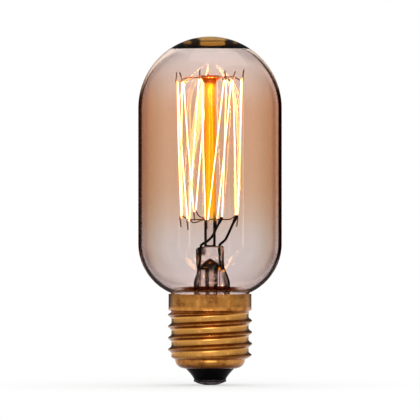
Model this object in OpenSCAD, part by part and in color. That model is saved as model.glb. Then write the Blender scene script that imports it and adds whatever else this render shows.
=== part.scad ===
// Tubular filament lamp: a glass envelope on a brass screw cap, with one long filament strung up
// and down between two crowns of wire hooks on a glass rod.
// Millimetres. Z is the lamp's axis, with the glass upwards. The origin is the lowest point of the
// centre contact, on the axis. -Y is the front, and +X is on the right of the front view.

/* [Glass envelope] */
// Height of the lamp, from the centre contact to the top of the dome
lamp_h = 109.3; // [106:0.1:130]
// Outer diameter of the tubular glass
bulb_d = 45; // [42:0.5:56]
// Wall of the blown glass
glass_t = 1; // [0.7:0.05:1.3]
// Thickness of the glass at the top of the dome, where the tube was closed
glass_top_t = 2.2; // [1.4:0.1:3]
// Radius of the shoulder, where the tube draws in towards the neck
shoulder_r = 16.9; // [15:0.1:19]
// Radius of the hollow curve between the shoulder and the neck
neck_curve_r = 1; // [0.9:0.1:1.5]
// How far the neck reaches down into the collar of the cap
neck_depth = 3.6; // [3:0.1:4.2]

/* [Screw cap] */
// Diameter over the plain collar at the top of the shell
collar_d = 26; // [25.8:0.1:27]
// Height of the plain collar
collar_h = 5; // [4.8:0.1:7]
// Diameter over the crests of the screw thread
thread_crest_d = 26.4; // [26.05:0.05:26.5]
// Diameter at the roots of the screw thread
thread_root_d = 24.2; // [23.8:0.05:24.5]
// Rise of the thread in one turn
thread_pitch = 3.629; // [3.4:0.001:3.9]
// Height of the threaded part of the shell
thread_h = 15.7; // [14:0.1:18]
// Diameter at the top of the rounded skirt under the thread
skirt_d = 21.9; // [21:0.1:22.6]
// Height of the rounded skirt
skirt_h = 2.7; // [2.2:0.1:3.4]
// Opening of the lip where the skirt is turned in around the insulator
lip_d = 15.4; // [14:0.1:16.5]
// Wall of the rolled brass shell, measured square to the axis
shell_t = 0.4; // [0.3:0.05:0.5]
// Room that the cement fills between the neck and the collar
cement_t = 0.6; // [0.55:0.05:0.7]

/* [Insulator and centre contact] */
// Height of the insulator's nose below the lip of the shell
nose_h = 3.35; // [2.8:0.05:4]
// Diameter at the bottom of the insulator's nose
nose_d = 10.4; // [10:0.1:11.5]
// Height of the insulator inside the shell, above the skirt
plug_h = 1; // [0.6:0.1:3]
// Diameter of the contact disc where it meets the insulator
disc_d = 10.2; // [9:0.1:10.4]
// Thickness of the contact disc
disc_t = 0.9; // [0.5:0.05:1.2]
// Outer diameter of the eyelet that holds the disc in the insulator
eyelet_d = 2.4; // [2:0.1:3]
// Bore of the eyelet
eyelet_bore_d = 1.4; // [1.2:0.1:1.6]
// Diameter of the solder on the contact disc
solder_d = 9.2; // [8:0.1:9.6]
// Height of the solder on the contact disc
solder_h = 0.95; // [0.7:0.05:1.2]
// Diameter of the flat that is worn on the solder
solder_flat_d = 3; // [2:0.1:4]

/* [Stem] */
// Outer diameter of the stem tube
stem_d = 11.4; // [11:0.1:13]
// Wall of the stem tube
stem_t = 1; // [0.8:0.05:1.2]
// Radius of the flare at the foot of the stem tube
flare_r = 4.2; // [3.4:0.1:4.4]
// Height of the top of the press above the rim of the collar
press_rise = 14.9; // [14:0.1:20]
// Height of the flat press
press_h = 7.3; // [6.8:0.1:9]
// Width of the flat press
press_w = 8.8; // [8.2:0.1:9.6]
// Thickness of the flat press at its top
press_t = 3.2; // [2.6:0.1:4]
// Height over which the round tube is drawn in to the press
press_draw_h = 4.7; // [3.5:0.1:5.5]
// Outer diameter of the exhaust tube
exhaust_d = 3.7; // [3.2:0.1:4]
// Bore of the exhaust tube
exhaust_bore_d = 1.9; // [1.4:0.1:2.2]
// Length of the exhaust tube, from the press to its sealed tip
exhaust_h = 23; // [18:0.5:25]

/* [Rod and hooks] */
// Diameter of the glass rod
rod_d = 3.6; // [3.2:0.1:4.4]
// Room between the rod's button and the inside of the dome
crown_room = 10; // [9:0.1:16]
// Diameter of the button that holds the upper hooks
button_d = 6.4; // [5.6:0.1:8]
// Thickness of the button's rim
button_t = 1.2; // [1:0.1:2]
// Height of the funnel between the rod and the button
funnel_h = 1.4; // [1:0.1:2.5]
// Diameter of the hook wire
hook_wire_d = 0.4; // [0.3:0.05:0.5]
// Number of hooks in the upper crown; the lower crown has one less
upper_hooks = 7; // [7:1:7]
// Distance from the axis to the filament on the upper hooks
upper_hook_r = 10.2; // [9:0.1:12]
// Depth of the filament's seat below the upper hooks' level run
upper_dip = 1.6; // [1.2:0.1:2]
// Length of the upper hooks' free ends above their level run
upper_prong_h = 1.8; // [1:0.1:3]
// Height of the lower hooks above the press
lower_hook_rise = 8.5; // [7.5:0.1:12]
// Distance from the axis to the filament on the lower hooks
lower_hook_r = 9.1; // [8:0.05:10.5]
// Rise of the filament's seat above the lower hooks' level run
lower_hump = 0.9; // [0.6:0.1:1.4]
// Length of the lower hooks' free ends below their level run
lower_prong_h = 2.4; // [1.4:0.1:3.4]

/* [Filament and leads] */
// Diameter of the filament
filament_d = 0.4; // [0.3:0.05:0.5]
// Diameter of the two leads inside the glass
lead_d = 0.8; // [0.6:0.05:0.9]
// Diameter of the two seal wires in the press
seal_wire_d = 0.6; // [0.4:0.05:0.7]
// Diameter of the two copper leads in the cap
outer_lead_d = 0.25; // [0.2:0.05:0.25]
// Distance between the two leads where they pass through the press
lead_spacing = 5.8; // [5.4:0.1:6.4]
// Depth of the inner leads in the press
lead_depth = 2.8; // [2:0.1:3.4]

/* [Hidden] */
// Clearances: glass sealed around a wire, pieces that seat on each other, a wire laid on a wire,
// and the side lead's way out between the glass and the rim of the collar
seal_gap = 0.05;
seat_gap = 0.1;
wire_gap = 0.05;
rim_gap = 0.35;

// Heights of the cap, from the contact up
disc_z = solder_h;
nose_z = disc_z + disc_t;
eyelet_rim = 0.4;
eyelet_solder = 0.8;
lip_z = nose_z + nose_h;
skirt_z = lip_z + skirt_h;
collar_z = skirt_z + thread_h;
rim_z = collar_z + collar_h;

// The shell has flat facets around, which reach further in than its corners do
shell_sides = 48;
facet_share = cos(180 / shell_sides);
collar_bore_r = (collar_d / 2 - shell_t) * facet_share;
thread_bore_r = (thread_root_d / 2 - shell_t) * facet_share;

// The envelope: the hollow curve passes around the collar's rim and runs into the shoulder where
// the line between their two centres crosses them, at the angle shoulder_end
bulb_r = bulb_d / 2;
neck_r = collar_d / 2 - shell_t - cement_t;
neck_z = rim_z - neck_depth;
curve_r = neck_r + neck_curve_r;
curve_z = rim_z - sqrt(pow(neck_curve_r - rim_gap, 2) - pow(curve_r - collar_bore_r, 2));
shoulder_x = bulb_r - shoulder_r;
centres = shoulder_r + neck_curve_r;
shoulder_z = curve_z + sqrt(pow(centres, 2) - pow(curve_r - shoulder_x, 2));
shoulder_end = atan2(curve_z - shoulder_z, curve_r - shoulder_x);
dome_z = lamp_h - bulb_r;
hollow_top_r = 32;
hollow_top_z = lamp_h - glass_top_t - hollow_top_r;

// The stem: the press stands on the drawn tube, and the exhaust tube meets the roof of its hollow
press_z = rim_z + press_rise;
draw_z = press_z - press_h;
tube_top_z = draw_z - press_draw_h;
flare_z = neck_z + flare_r;
roof_rise = 1.4;
roof_z = draw_z + roof_rise;
roof_r = exhaust_d / 2 + seal_gap;
hollow_x = press_w / 2 - 0.8 * stem_t;
exhaust_z = roof_z - exhaust_h - seal_gap;
exhaust_hole_rise = 1.3;
exhaust_hole_z = roof_z + exhaust_hole_rise;
press_foot_t = exhaust_d + 2 * stem_t;
press_foot_rise = 1;
press_thin_z = draw_z + press_h * 0.6;
lead_x = lead_spacing / 2;
lead_foot_z = press_z - lead_depth;
seal_stub = 0.3;
seal_foot_z = draw_z - seal_stub;

// The rod
rod_r = rod_d / 2;
button_r = button_d / 2;
rod_top_z = lamp_h - glass_top_t - crown_room;
upper_hook_z = rod_top_z - button_t / 2;
lower_hook_z = press_z + lower_hook_rise;
button_hold = 1.2;
rod_hold = 0.8;
upper_wire_foot_r = button_r - button_hold;
lower_wire_foot_r = rod_r - rod_hold;

// Turns of the hooks about the axis, in degrees from the front towards +X. The upper hooks are
// evenly spread and each lower hook stands between two of them, but for what each got when it was
// bent by hand: a stray turn in degrees, a lift of its seat, an outward lean of its free end, and
// a sag of its run from the rod.
first_hook_turn = 27;
upper_hook_stray = [0, 7, -8, 4, 2, 7, -4];
upper_hook_lift = [0, 0.4, -0.3, -0.1, 0.1, 0.2, 0.5];
upper_hook_lean = [-0.5, 0, -0.1, 0.9, 0, 1.2, 0.4];
lower_hook_stray = [-11, 3, 2, 2, 8, 9];
lower_hook_lift = [-0.5, -0.8, 0, 2, -0.6, 0.1];
lower_hook_sag = [0, 0.9, 0.2, -0.1, 0.1, 0.2];
lower_hooks = upper_hooks - 1;
function upper_turn(i) = first_hook_turn - 360 / upper_hooks * i + upper_hook_stray[i];
function lower_turn(i) = (upper_turn(i) + upper_turn(i + 1)) / 2 + lower_hook_stray[i];

// Steps of the envelope's arcs
dome_steps = 24;
hollow_top_steps = 10;
shoulder_steps = 16;
curve_steps = 6;

// Radius of the filament's bend around a hook's wire, and half the width of the hook's seat
bend_r = (hook_wire_d + filament_d) / 2 + wire_gap;
hook_seat = bend_r;
// Where a hook's run leaves the straight, how far its free end bows out beside the seat, the height
// of that bow, and how far the wires are slack of the seat there
upper_run_end = 2.6;
lower_run_end = 2.3;
run_slope = 1.3;
bow = 0.15;
bow_h = 0.7;
slack = 0.05;
wire_sides = 6;
lead_sides = 8;

$fn = 96;

// Points, directions and paths
function around(turn, r, z) = [r * sin(turn), -r * cos(turn), z];
function sideways(turn) = [cos(turn), sin(turn), 0];
function unit(v) = v / norm(v);
function blend(share) = let (s = min(max(share, 0), 1)) s * s * (3 - 2 * s);

// Each corner of the path is cut at a quarter of both runs, so a wire bends instead of breaking
function cut_corners(path) = concat(
    [path[0]],
    [for (i = [0 : len(path) - 2]) each [
        path[i] * 0.75 + path[i + 1] * 0.25,
        path[i] * 0.25 + path[i + 1] * 0.75
    ]],
    [path[len(path) - 1]]
);
function bent(path, times = 2) = times == 0 ? path : bent(cut_corners(path), times - 1);

// One closed tube along rings of [point, a direction across the tube]
function heading(rings, i) =
    unit(rings[min(i + 1, len(rings) - 1)][0] - rings[max(i - 1, 0)][0]);
function ring_points(rings, i, r, sides) =
    let (
        t = heading(rings, i),
        across = rings[i][1],
        u = unit(across - (across * t) * t),
        v = cross(t, u)
    )
    [for (k = [0 : sides - 1])
        rings[i][0] + r * (cos(360 * k / sides) * u + sin(360 * k / sides) * v)];
module tube(rings, d, sides) {
    last = (len(rings) - 1) * sides;
    points = [for (i = [0 : len(rings) - 1]) each ring_points(rings, i, d / 2, sides)];
    foot = [for (k = [1 : sides - 2]) [0, k, k + 1]];
    top = [for (k = [1 : sides - 2]) [last, last + k + 1, last + k]];
    walls = [for (i = [0 : len(rings) - 2], k = [0 : sides - 1])
        let (a = i * sides + k, b = i * sides + (k + 1) % sides)
        each [[a, a + sides, b + sides], [a, b + sides, b]]];
    polyhedron(points, concat(foot, walls, top));
}
module wire(path, d, across, sides = wire_sides) {
    tube([for (p = bent(path)) [p, across]], d, sides);
}

// Faces of the envelope from the top of the dome to the neck, drawn in by inset from the outer face
function arc(centre, r, from, to, steps) = [for (k = [0 : steps])
    let (a = from + (to - from) * k / steps)
    centre + r * [cos(a), sin(a)]];
// Inside, a flatter arc closes the hollow under the dome, so the glass is thickest at the top
function dome_face(inset) = inset <= 0
    ? arc([0, dome_z], bulb_r - inset, 90, 0, dome_steps)
    : let (
        r = bulb_r - inset,
        gap = dome_z - hollow_top_z,
        meet = (pow(hollow_top_r, 2) - pow(r, 2) + pow(gap, 2)) / (2 * gap),
        wall = arc([0, dome_z], r, asin((meet - gap) / r), 0, dome_steps)
    )
    concat(
        arc([0, hollow_top_z], hollow_top_r, 90, asin(meet / hollow_top_r), hollow_top_steps),
        [for (k = [1 : dome_steps]) wall[k]]
    );
function envelope_face(inset) =
    let (curve = arc([curve_r, curve_z], neck_curve_r + inset, shoulder_end + 180, 180, curve_steps))
    concat(
        dome_face(inset),
        arc([shoulder_x, shoulder_z], shoulder_r - inset, 0, shoulder_end, shoulder_steps),
        [for (k = [1 : curve_steps]) curve[k]],
        [[neck_r - inset, neck_z]]
    );
function backwards(path) = [for (k = [len(path) - 1 : -1 : 0]) path[k]];
module glass_envelope() {
    color("burlywood", 0.35) rotate_extrude()
        polygon(concat(envelope_face(0), backwards(envelope_face(glass_t))));
}

// The tube is drawn in to the press by flat faces front and back and on both sides
module stem_draw(inset, front, side) {
    intersection() {
        translate([0, 0, tube_top_z]) cylinder(r = stem_d / 2 - inset, h = press_z - tube_top_z);
        rotate([90, 0, 0]) linear_extrude(2 * stem_d, center = true) polygon(front);
        rotate([90, 0, 90]) linear_extrude(2 * stem_d, center = true) polygon(side);
    }
}
function both_sides(half) = concat(half, [for (i = [len(half) - 1 : -1 : 0]) [-half[i][0], half[i][1]]]);
module stem_tube_outline() {
    translate([stem_d / 2 - stem_t, flare_z]) square([stem_t, tube_top_z - flare_z]);
    translate([stem_d / 2 + flare_r, flare_z]) intersection() {
        difference() {
            circle(flare_r + stem_t);
            circle(flare_r);
        }
        translate([-stem_d, -stem_d]) square(stem_d);
    }
    translate([stem_d / 2 + flare_r, neck_z - stem_t])
        square([neck_r - stem_d / 2 - flare_r, stem_t]);
}
module lead_bore(x) {
    translate([x, 0, lead_foot_z - seal_gap]) cylinder(r = lead_d / 2 + seal_gap, h = press_h);
    translate([x, 0, draw_z - stem_t]) cylinder(r = seal_wire_d / 2 + seal_gap, h = press_h);
}
module stem_flare() {
    wide = stem_d / 2 + stem_t;
    color("gainsboro", 0.5) difference() {
        union() {
            rotate_extrude() stem_tube_outline();
            difference() {
                stem_draw(
                    0,
                    both_sides([[wide, tube_top_z], [press_w / 2, draw_z], [press_w / 2, press_z]]),
                    both_sides([
                        [wide, tube_top_z],
                        [press_foot_t / 2, draw_z + press_foot_rise],
                        [press_t / 2, press_thin_z],
                        [press_t / 2, press_z]
                    ])
                );
                stem_draw(
                    stem_t,
                    both_sides([
                        [wide, tube_top_z],
                        [hollow_x, draw_z],
                        [roof_r, roof_z]
                    ]),
                    both_sides([
                        [wide - stem_t, tube_top_z],
                        [roof_r, draw_z + press_foot_rise],
                        [roof_r, roof_z]
                    ])
                );
            }
        }
        translate([0, 0, roof_z - stem_t])
            cylinder(d = exhaust_bore_d, h = exhaust_hole_z - roof_z + stem_t);
        translate([0, 0, exhaust_hole_z]) rotate([90, 0, 0])
            cylinder(d = exhaust_bore_d, h = press_foot_t);
        lead_bore(lead_x);
        lead_bore(-lead_x);
    }
}

module exhaust_tube() {
    r = exhaust_d / 2;
    color("gainsboro", 0.5) translate([0, 0, exhaust_z]) difference() {
        rotate_extrude() {
            translate([0, r]) square([r, exhaust_h - r]);
            intersection() {
                translate([0, r]) circle(r);
                square(r);
            }
        }
        translate([0, 0, exhaust_d]) cylinder(d = exhaust_bore_d, h = exhaust_h);
    }
}

// The rod widens in a funnel to a button with a round edge
module rod_outline() {
    button_z = rod_top_z - button_t;
    flat_r = button_r - button_t / 2;
    polygon([
        [0, press_z],
        [rod_r, press_z],
        [rod_r, button_z - funnel_h],
        [flat_r, button_z],
        [flat_r, rod_top_z],
        [0, rod_top_z]
    ]);
    intersection() {
        translate([flat_r, upper_hook_z]) circle(button_t / 2);
        translate([flat_r, button_z]) square(button_t);
    }
}
module hook_bore(turn, from_r, z) {
    translate([0, 0, z]) rotate([90, 0, turn]) translate([0, 0, from_r - seal_gap])
        cylinder(d = hook_wire_d + 2 * seal_gap, h = button_r);
}
module support_rod() {
    color("gold", 0.6) difference() {
        rotate_extrude() rod_outline();
        for (i = [0 : upper_hooks - 1])
            hook_bore(upper_turn(i), upper_wire_foot_r, upper_hook_z);
        for (i = [0 : lower_hooks - 1])
            hook_bore(lower_turn(i), lower_wire_foot_r, lower_hook_z);
    }
}

// A hook's path in its own upright plane. A bend is [distance from the axis, height, share of the
// hook's lift].
function hook_path(turn, z, lift, bends) =
    [for (b = bends) around(turn, b[0], z + b[1] + lift * b[2])];
function upper_bends(lean) = [
    [upper_wire_foot_r, 0, 0],
    [button_r + run_slope / 2, 0, 0],
    [upper_hook_r - upper_run_end, 0, 0.3],
    [upper_hook_r - run_slope, -upper_dip / 2, 0.7],
    [upper_hook_r - hook_seat, -upper_dip, 1],
    [upper_hook_r + hook_seat - slack, -upper_dip, 1],
    [upper_hook_r + hook_seat + bow, bow_h - upper_dip, 1],
    [upper_hook_r + hook_seat - slack, 2 * bow_h - upper_dip, 1],
    [upper_hook_r + hook_seat - slack + lean, upper_prong_h, 1]
];
function lower_bends(sag) = [
    [lower_wire_foot_r, 0, 0],
    [rod_r + run_slope / 2, 0, 0],
    [lower_hook_r - lower_run_end, -sag, 0.4],
    [lower_hook_r - run_slope, (lower_hump - sag) / 2, 0.8],
    [lower_hook_r - hook_seat, lower_hump, 1],
    [lower_hook_r + hook_seat - slack, lower_hump, 1],
    [lower_hook_r + hook_seat + bow, lower_hump - bow_h, 1],
    [lower_hook_r + hook_seat - slack, lower_hump - 2 * bow_h, 1],
    [lower_hook_r + bow, -lower_prong_h, 1]
];
module upper_hook(i) {
    turn = upper_turn(i);
    bends = upper_bends(upper_hook_lean[i]);
    color("slategray")
        wire(hook_path(turn, upper_hook_z, upper_hook_lift[i], bends), hook_wire_d, sideways(turn));
}
module lower_hook(i) {
    turn = lower_turn(i);
    bends = lower_bends(lower_hook_sag[i]);
    color("slategray")
        wire(hook_path(turn, lower_hook_z, lower_hook_lift[i], bends), hook_wire_d, sideways(turn));
}

// The inner leads rise from the press and fan out to the filament's two ends. The left one passes
// in front of the rod. Heights are above the press.
lead_clear_y = rod_r + lead_d + 2 * seat_gap;
left_lead = [
    [-lead_x, 0, -lead_depth],
    [-lead_x, 0, 0.3],
    [-2.5, -0.9, 0.6],
    [-1.8, -lead_clear_y + 0.7, 1.1],
    [-0.6, -lead_clear_y, 1.8],
    [0.8, -lead_clear_y - 1, 3.2],
    [1.6, -lead_clear_y - 2, 5],
    [3.6, -7.7, 9]
];
right_lead = [
    [lead_x, 0, -lead_depth],
    [lead_x, 0, 0.3],
    [lead_x + 0.4, -0.3, 0.8],
    [4.2, -0.9, 1.5],
    [5.1, -1.4, 2.4],
    [7, -2.6, 6.8],
    [8.4, -3.3, 9.7]
];
function on_press(path) = [for (p = path) p + [0, 0, press_z]];
module inner_lead(path) {
    color("dimgray") wire(on_press(path), lead_d, [0, 1, 0.3], lead_sides);
}

// The filament starts at the left lead, goes over each upper hook and under each lower hook in
// turn, and ends at the right lead. Entries are [point, turn about the axis].
function lead_end(path) = let (n = len(path)) path[n - 1] + [0, 0, press_z];
function lead_tip(path) =
    let (n = len(path)) lead_end(path) + (seat_gap + lead_d / 2) * unit(path[n - 1] - path[n - 2]);
function turn_of(point) = atan2(point[0], -point[1]);
function filament_bend(turn, r, z, way) = [for (a = [0 : 45 : 180])
    [around(turn, r, z) + bend_r * (cos(a) * sideways(turn) + [0, 0, way * sin(a)]), turn]];
function upper_bend(i) =
    filament_bend(upper_turn(i), upper_hook_r, upper_hook_z - upper_dip + upper_hook_lift[i], 1);
function lower_bend(i) =
    filament_bend(lower_turn(i), lower_hook_r, lower_hook_z + lower_hump + lower_hook_lift[i], -1);
first_end = lead_tip(left_lead);
last_end = lead_tip(right_lead);
filament_route = concat(
    [[first_end, turn_of(first_end)]],
    [for (i = [0 : upper_hooks - 1]) each
        concat(upper_bend(i), i < lower_hooks ? lower_bend(i) : [])],
    [[last_end, turn_of(last_end)]]
);

// The least gap between two strands, measured from points along each one to all later ones
bend_steps = 5;
strands = [for (i = [0 : bend_steps : len(filament_route) - 2])
    [filament_route[i][0], filament_route[i + 1][0]]];
function point_to_run(p, run) =
    let (
        along = run[1] - run[0],
        share = min(max((p - run[0]) * along / (along * along), 0), 1)
    )
    norm(p - run[0] - share * along);
strand_pairs = [for (i = [0 : len(strands) - 2], j = [i + 1 : len(strands) - 1]) [strands[i], strands[j]]];
least_filament_gap = min([for (pair = strand_pairs, s = [0 : 0.05 : 1])
    point_to_run(pair[0][0] * (1 - s) + pair[0][1] * s, pair[1])]) - filament_d;
echo(least_filament_gap = least_filament_gap);

module filament() {
    color("orange") tube([for (e = filament_route) [e[0], around(e[1], 1, 0)]], filament_d, wire_sides);
}

// The seal wires carry on from the inner leads through the press
module seal_wire(x) {
    color("chocolate") translate([x, 0, seal_foot_z])
        cylinder(d = seal_wire_d, h = lead_foot_z - seal_foot_z - seal_gap);
}
outer_lead_top_z = seal_foot_z - seal_gap;
eyelet_top_z = skirt_z + plug_h + eyelet_rim;
solder_top_z = nose_z + eyelet_solder;
module centre_lead() {
    color("peru") wire(
        [
            [-lead_x, 0, outer_lead_top_z],
            [-lead_x, 0, exhaust_z + exhaust_d / 2],
            [-lead_x * 0.8, 0, exhaust_z - exhaust_d / 3],
            [0, 0, eyelet_top_z + 1.2],
            [0, 0, solder_top_z + 2 * seat_gap]
        ],
        outer_lead_d, [0, 1, 0]
    );
}

// The side lead goes out under the neck to the back, up through the cement and over the rim
flare_foot_z = neck_z - stem_t;
side_lead_r = collar_bore_r - seal_gap - outer_lead_d / 2;
side_solder_r = 0.9;
side_solder_y = collar_d / 2 + seal_gap;
side_solder_z = rim_z - 0.7;
side_lead_end_y = side_solder_y + 0.3;
side_lead_end_z = rim_z - 0.4;
over_rim_z = rim_z + outer_lead_d / 2 + 3 * seal_gap;
side_path = [
    [lead_x, 0, outer_lead_top_z],
    [lead_x, 0, flare_foot_z + 3],
    [lead_x * 0.9, 2.5, flare_foot_z + 0.2],
    [lead_x * 0.4, 7.5, flare_foot_z - 1],
    [0.3, thread_bore_r - 1.1, flare_foot_z - 1.05],
    [0, thread_bore_r - 0.1, flare_foot_z - 0.7],
    [0, side_lead_r - 0.05, flare_foot_z - 0.1],
    [0, side_lead_r, flare_foot_z + 0.6],
    [0, side_lead_r, side_lead_end_z],
    [0, side_lead_r, rim_z],
    [0, side_lead_r + 0.15, over_rim_z],
    [0, side_solder_y, over_rim_z],
    [0, side_lead_end_y, rim_z - 0.1],
    [0, side_lead_end_y, side_lead_end_z]
];
module side_lead() {
    color("peru") wire(side_path, outer_lead_d, [1, 0, 0]);
}
module side_solder() {
    color("silver") difference() {
        translate([0, side_solder_y, side_solder_z]) rotate([-90, 0, 0]) rotate_extrude()
            intersection() {
                circle(side_solder_r);
                square(side_solder_r);
            }
        translate([0, side_lead_end_y, side_lead_end_z - seal_gap])
            cylinder(d = outer_lead_d + 2 * seal_gap, h = side_solder_r);
    }
}

// The shell: a rounded skirt, a right-hand screw thread and a plain collar, rolled from one sheet.
// A row is [height, radius before the thread is added, share of the thread's depth].
thread_front_z = skirt_z + 1.4;
crest_sharpness = 2.6;
// Heights over which the thread grows out of the skirt and fades under the collar, and over which
// the shell widens to the root of the thread and to the collar
thread_start_h = 1.6;
thread_end_h = 1.2;
thread_margin = 0.2;
skirt_widening_h = 0.9;
collar_widening_h = 0.6;
skirt_rows = 5;
thread_rows = 44;
lip_r = lip_d / 2;
function wave(turn, z) =
    pow((1 + cos(360 * (z - thread_front_z) / thread_pitch - turn)) / 2, crest_sharpness);
function skirt_row(share, inset) = [
    lip_z + inset + (skirt_h - inset) * (1 - cos(90 * share)),
    lip_r + (skirt_d / 2 - inset - lip_r) * sin(90 * share),
    0
];
function thread_row(z, inset) = [
    z,
    thread_root_d / 2 - inset
        + (skirt_d - thread_root_d) / 2 * blend((skirt_z - z) / skirt_widening_h + 1)
        + (collar_d - thread_root_d) / 2 * blend((z - collar_z) / collar_widening_h + 1),
    blend((z - skirt_z - thread_margin) / thread_start_h)
        * blend((collar_z - thread_margin - z) / thread_end_h)
];
function shell_rows(inset) = concat(
    [for (k = [0 : skirt_rows - 1]) skirt_row(k / skirt_rows, inset)],
    [for (k = [0 : thread_rows]) thread_row(skirt_z + thread_h * k / thread_rows, inset)],
    [[collar_z + collar_h / 2, collar_d / 2 - inset, 0], [rim_z, collar_d / 2 - inset, 0]]
);
function shell_ring(row) = [for (k = [0 : shell_sides - 1])
    let (
        turn = 360 * k / shell_sides,
        r = row[1] + row[2] * (thread_crest_d - thread_root_d) / 2 * wave(turn, row[0])
    )
    [r * cos(turn), r * sin(turn), row[0]]];
module screw_shell() {
    outer = shell_rows(0);
    inner = shell_rows(shell_t);
    n = len(outer);
    rows = concat(outer, [for (i = [n - 1 : -1 : 0]) inner[i]]);
    points = [for (row = rows) each shell_ring(row)];
    faces = [for (i = [0 : 2 * n - 1], k = [0 : shell_sides - 1])
        let (
            next = (k + 1) % shell_sides,
            low = i * shell_sides,
            high = (i + 1) % (2 * n) * shell_sides
        )
        each [[low + k, high + k, high + next], [low + k, high + next, low + next]]];
    color("darkgoldenrod") polyhedron(points, faces);
}

module cap_cement() {
    foot_z = neck_z + seat_gap;
    color("tan") difference() {
        rotate_extrude() difference() {
            translate([neck_r - glass_t, foot_z])
                square([collar_bore_r - seal_gap - neck_r + glass_t, rim_z - seat_gap - foot_z]);
            polygon(concat(envelope_face(-seal_gap), [[0, neck_z]]));
        }
        translate([0, side_lead_r, foot_z - 1])
            cylinder(d = outer_lead_d + 2 * seal_gap, h = neck_depth + 2);
    }
}

// The insulator fills the skirt, follows its curve and ends in the nose under the lip
module cap_insulator() {
    body_steps = 6;
    plug_edge = 0.5;
    plug_z = skirt_z + plug_h;
    body_r = (skirt_d / 2 - shell_t) * facet_share - seat_gap;
    throat_r = lip_r * facet_share - seat_gap;
    shelf_z = lip_z + shell_t + seat_gap;
    body = [for (k = [0 : body_steps])
        let (a = 90 * k / body_steps)
        [
            throat_r + (body_r - throat_r) * sin(a),
            shelf_z + (skirt_z - shelf_z) * (1 - cos(a))
        ]];
    color("black") difference() {
        rotate_extrude() polygon(concat(
            [[0, nose_z], [nose_d / 2, nose_z], [throat_r, lip_z]],
            body,
            [[body_r, plug_z - plug_edge], [body_r - plug_edge, plug_z], [0, plug_z]]
        ));
        cylinder(d = eyelet_d + 2 * seat_gap, h = 2 * plug_z);
    }
}

module contact_disc() {
    disc_taper = 0.6;
    color("goldenrod") difference() {
        translate([0, 0, disc_z]) {
            cylinder(d1 = disc_d - disc_taper, d2 = disc_d, h = disc_t);
            cylinder(d = eyelet_d, h = eyelet_top_z - disc_z);
        }
        cylinder(d = eyelet_bore_d, h = 2 * eyelet_top_z);
    }
}

// The solder's face is part of a ball that meets the disc's edge and the worn flat
module contact_solder() {
    solder_r = solder_d / 2;
    flat_r = solder_flat_d / 2;
    ball_z = (pow(solder_r, 2) + pow(solder_h, 2) - pow(flat_r, 2)) / (2 * solder_h);
    ball_r = norm([flat_r, ball_z]);
    plug_r = eyelet_bore_d / 2 - seal_gap;
    color("gray") {
        rotate_extrude() intersection() {
            translate([0, ball_z]) circle(ball_r);
            square([solder_d, solder_h]);
        }
        cylinder(r = plug_r, h = solder_top_z);
    }
}

glass_envelope();
stem_flare();
exhaust_tube();
support_rod();
for (i = [0 : upper_hooks - 1])
    upper_hook(i);
for (i = [0 : lower_hooks - 1])
    lower_hook(i);
filament();
inner_lead(left_lead);  // inner_lead_left
inner_lead(right_lead);  // inner_lead_right
seal_wire(-lead_x);  // seal_wire_left
seal_wire(lead_x);  // seal_wire_right
centre_lead();
side_lead();
screw_shell();
cap_cement();
cap_insulator();
contact_disc();
contact_solder();
side_solder();
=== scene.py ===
"""Looks of a tubular carbon filament lamp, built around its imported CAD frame.

Metres, in the frame of the CAD: Z is the lamp's axis with the glass upwards, the origin is the lowest
point of the centre contact, -Y is the front and +X is on the right of the front view. The fields of
the pieces are in millimetres.
"""

import logging
import math
from collections.abc import Callable
from dataclasses import dataclass
from enum import Enum
from functools import partial

import bmesh
import bpy
import numpy as np
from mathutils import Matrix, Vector


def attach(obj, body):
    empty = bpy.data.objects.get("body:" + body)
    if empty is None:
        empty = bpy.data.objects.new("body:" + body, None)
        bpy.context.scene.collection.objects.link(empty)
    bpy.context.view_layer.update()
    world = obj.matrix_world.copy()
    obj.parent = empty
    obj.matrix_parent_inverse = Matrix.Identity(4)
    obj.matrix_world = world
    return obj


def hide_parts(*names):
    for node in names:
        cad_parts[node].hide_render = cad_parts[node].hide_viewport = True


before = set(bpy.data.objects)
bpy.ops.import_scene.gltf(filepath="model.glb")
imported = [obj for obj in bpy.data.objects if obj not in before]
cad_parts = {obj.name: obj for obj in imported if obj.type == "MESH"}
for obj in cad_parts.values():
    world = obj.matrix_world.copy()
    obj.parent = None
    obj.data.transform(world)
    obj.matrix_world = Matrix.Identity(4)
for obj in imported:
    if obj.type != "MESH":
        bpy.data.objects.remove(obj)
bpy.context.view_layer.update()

MM = 0.001
BODY = "root"
WHITE = "#ffffff"
DIM = 0.05
END_RINGS = 3
END_LENGTH = 0.35
TINY = 1e-7
log = logging.getLogger("lamp")

Array = np.ndarray
Socket = bpy.types.NodeSocket
Feeds = dict[str, Socket]
Add = Callable[..., Socket]
Colour = tuple[float, float, float, float]
Pair = tuple[float, float]
Place = tuple[float, float, float]
Outline = tuple[Pair, ...]
Stops = tuple[tuple[float, str | float], ...]
# The two ends of a value, and the two that it is brought to.
Remap = tuple[float, float, float, float]


# Curves and meshes


def rise(value: Array, start: float, length: float) -> Array:
    """Rise from 0 at start to 1 along 3s^2 - 2s^3, with s the share of a length, negative to fall."""
    s = np.clip((value - start) / length, 0, 1)
    return s * s * (3 - 2 * s)


def blend(start: tuple[float, ...], end: tuple[float, ...], *shares: Array | float) -> Array:
    """Rows that run from start to end, with a share of the way for each of their columns."""
    return np.array(start) + (np.array(end) - start) * np.stack(np.broadcast_arrays(*shares), axis=-1)


def full_turn(columns: int) -> Array:
    """Angles of equal steps once around, in radians."""
    return np.linspace(0, 2 * np.pi, columns, endpoint=False)


def unit(vectors: Array) -> Array:
    """Scale each vector of an array to length 1."""
    return vectors / np.linalg.norm(vectors, axis=-1, keepdims=True)


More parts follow.
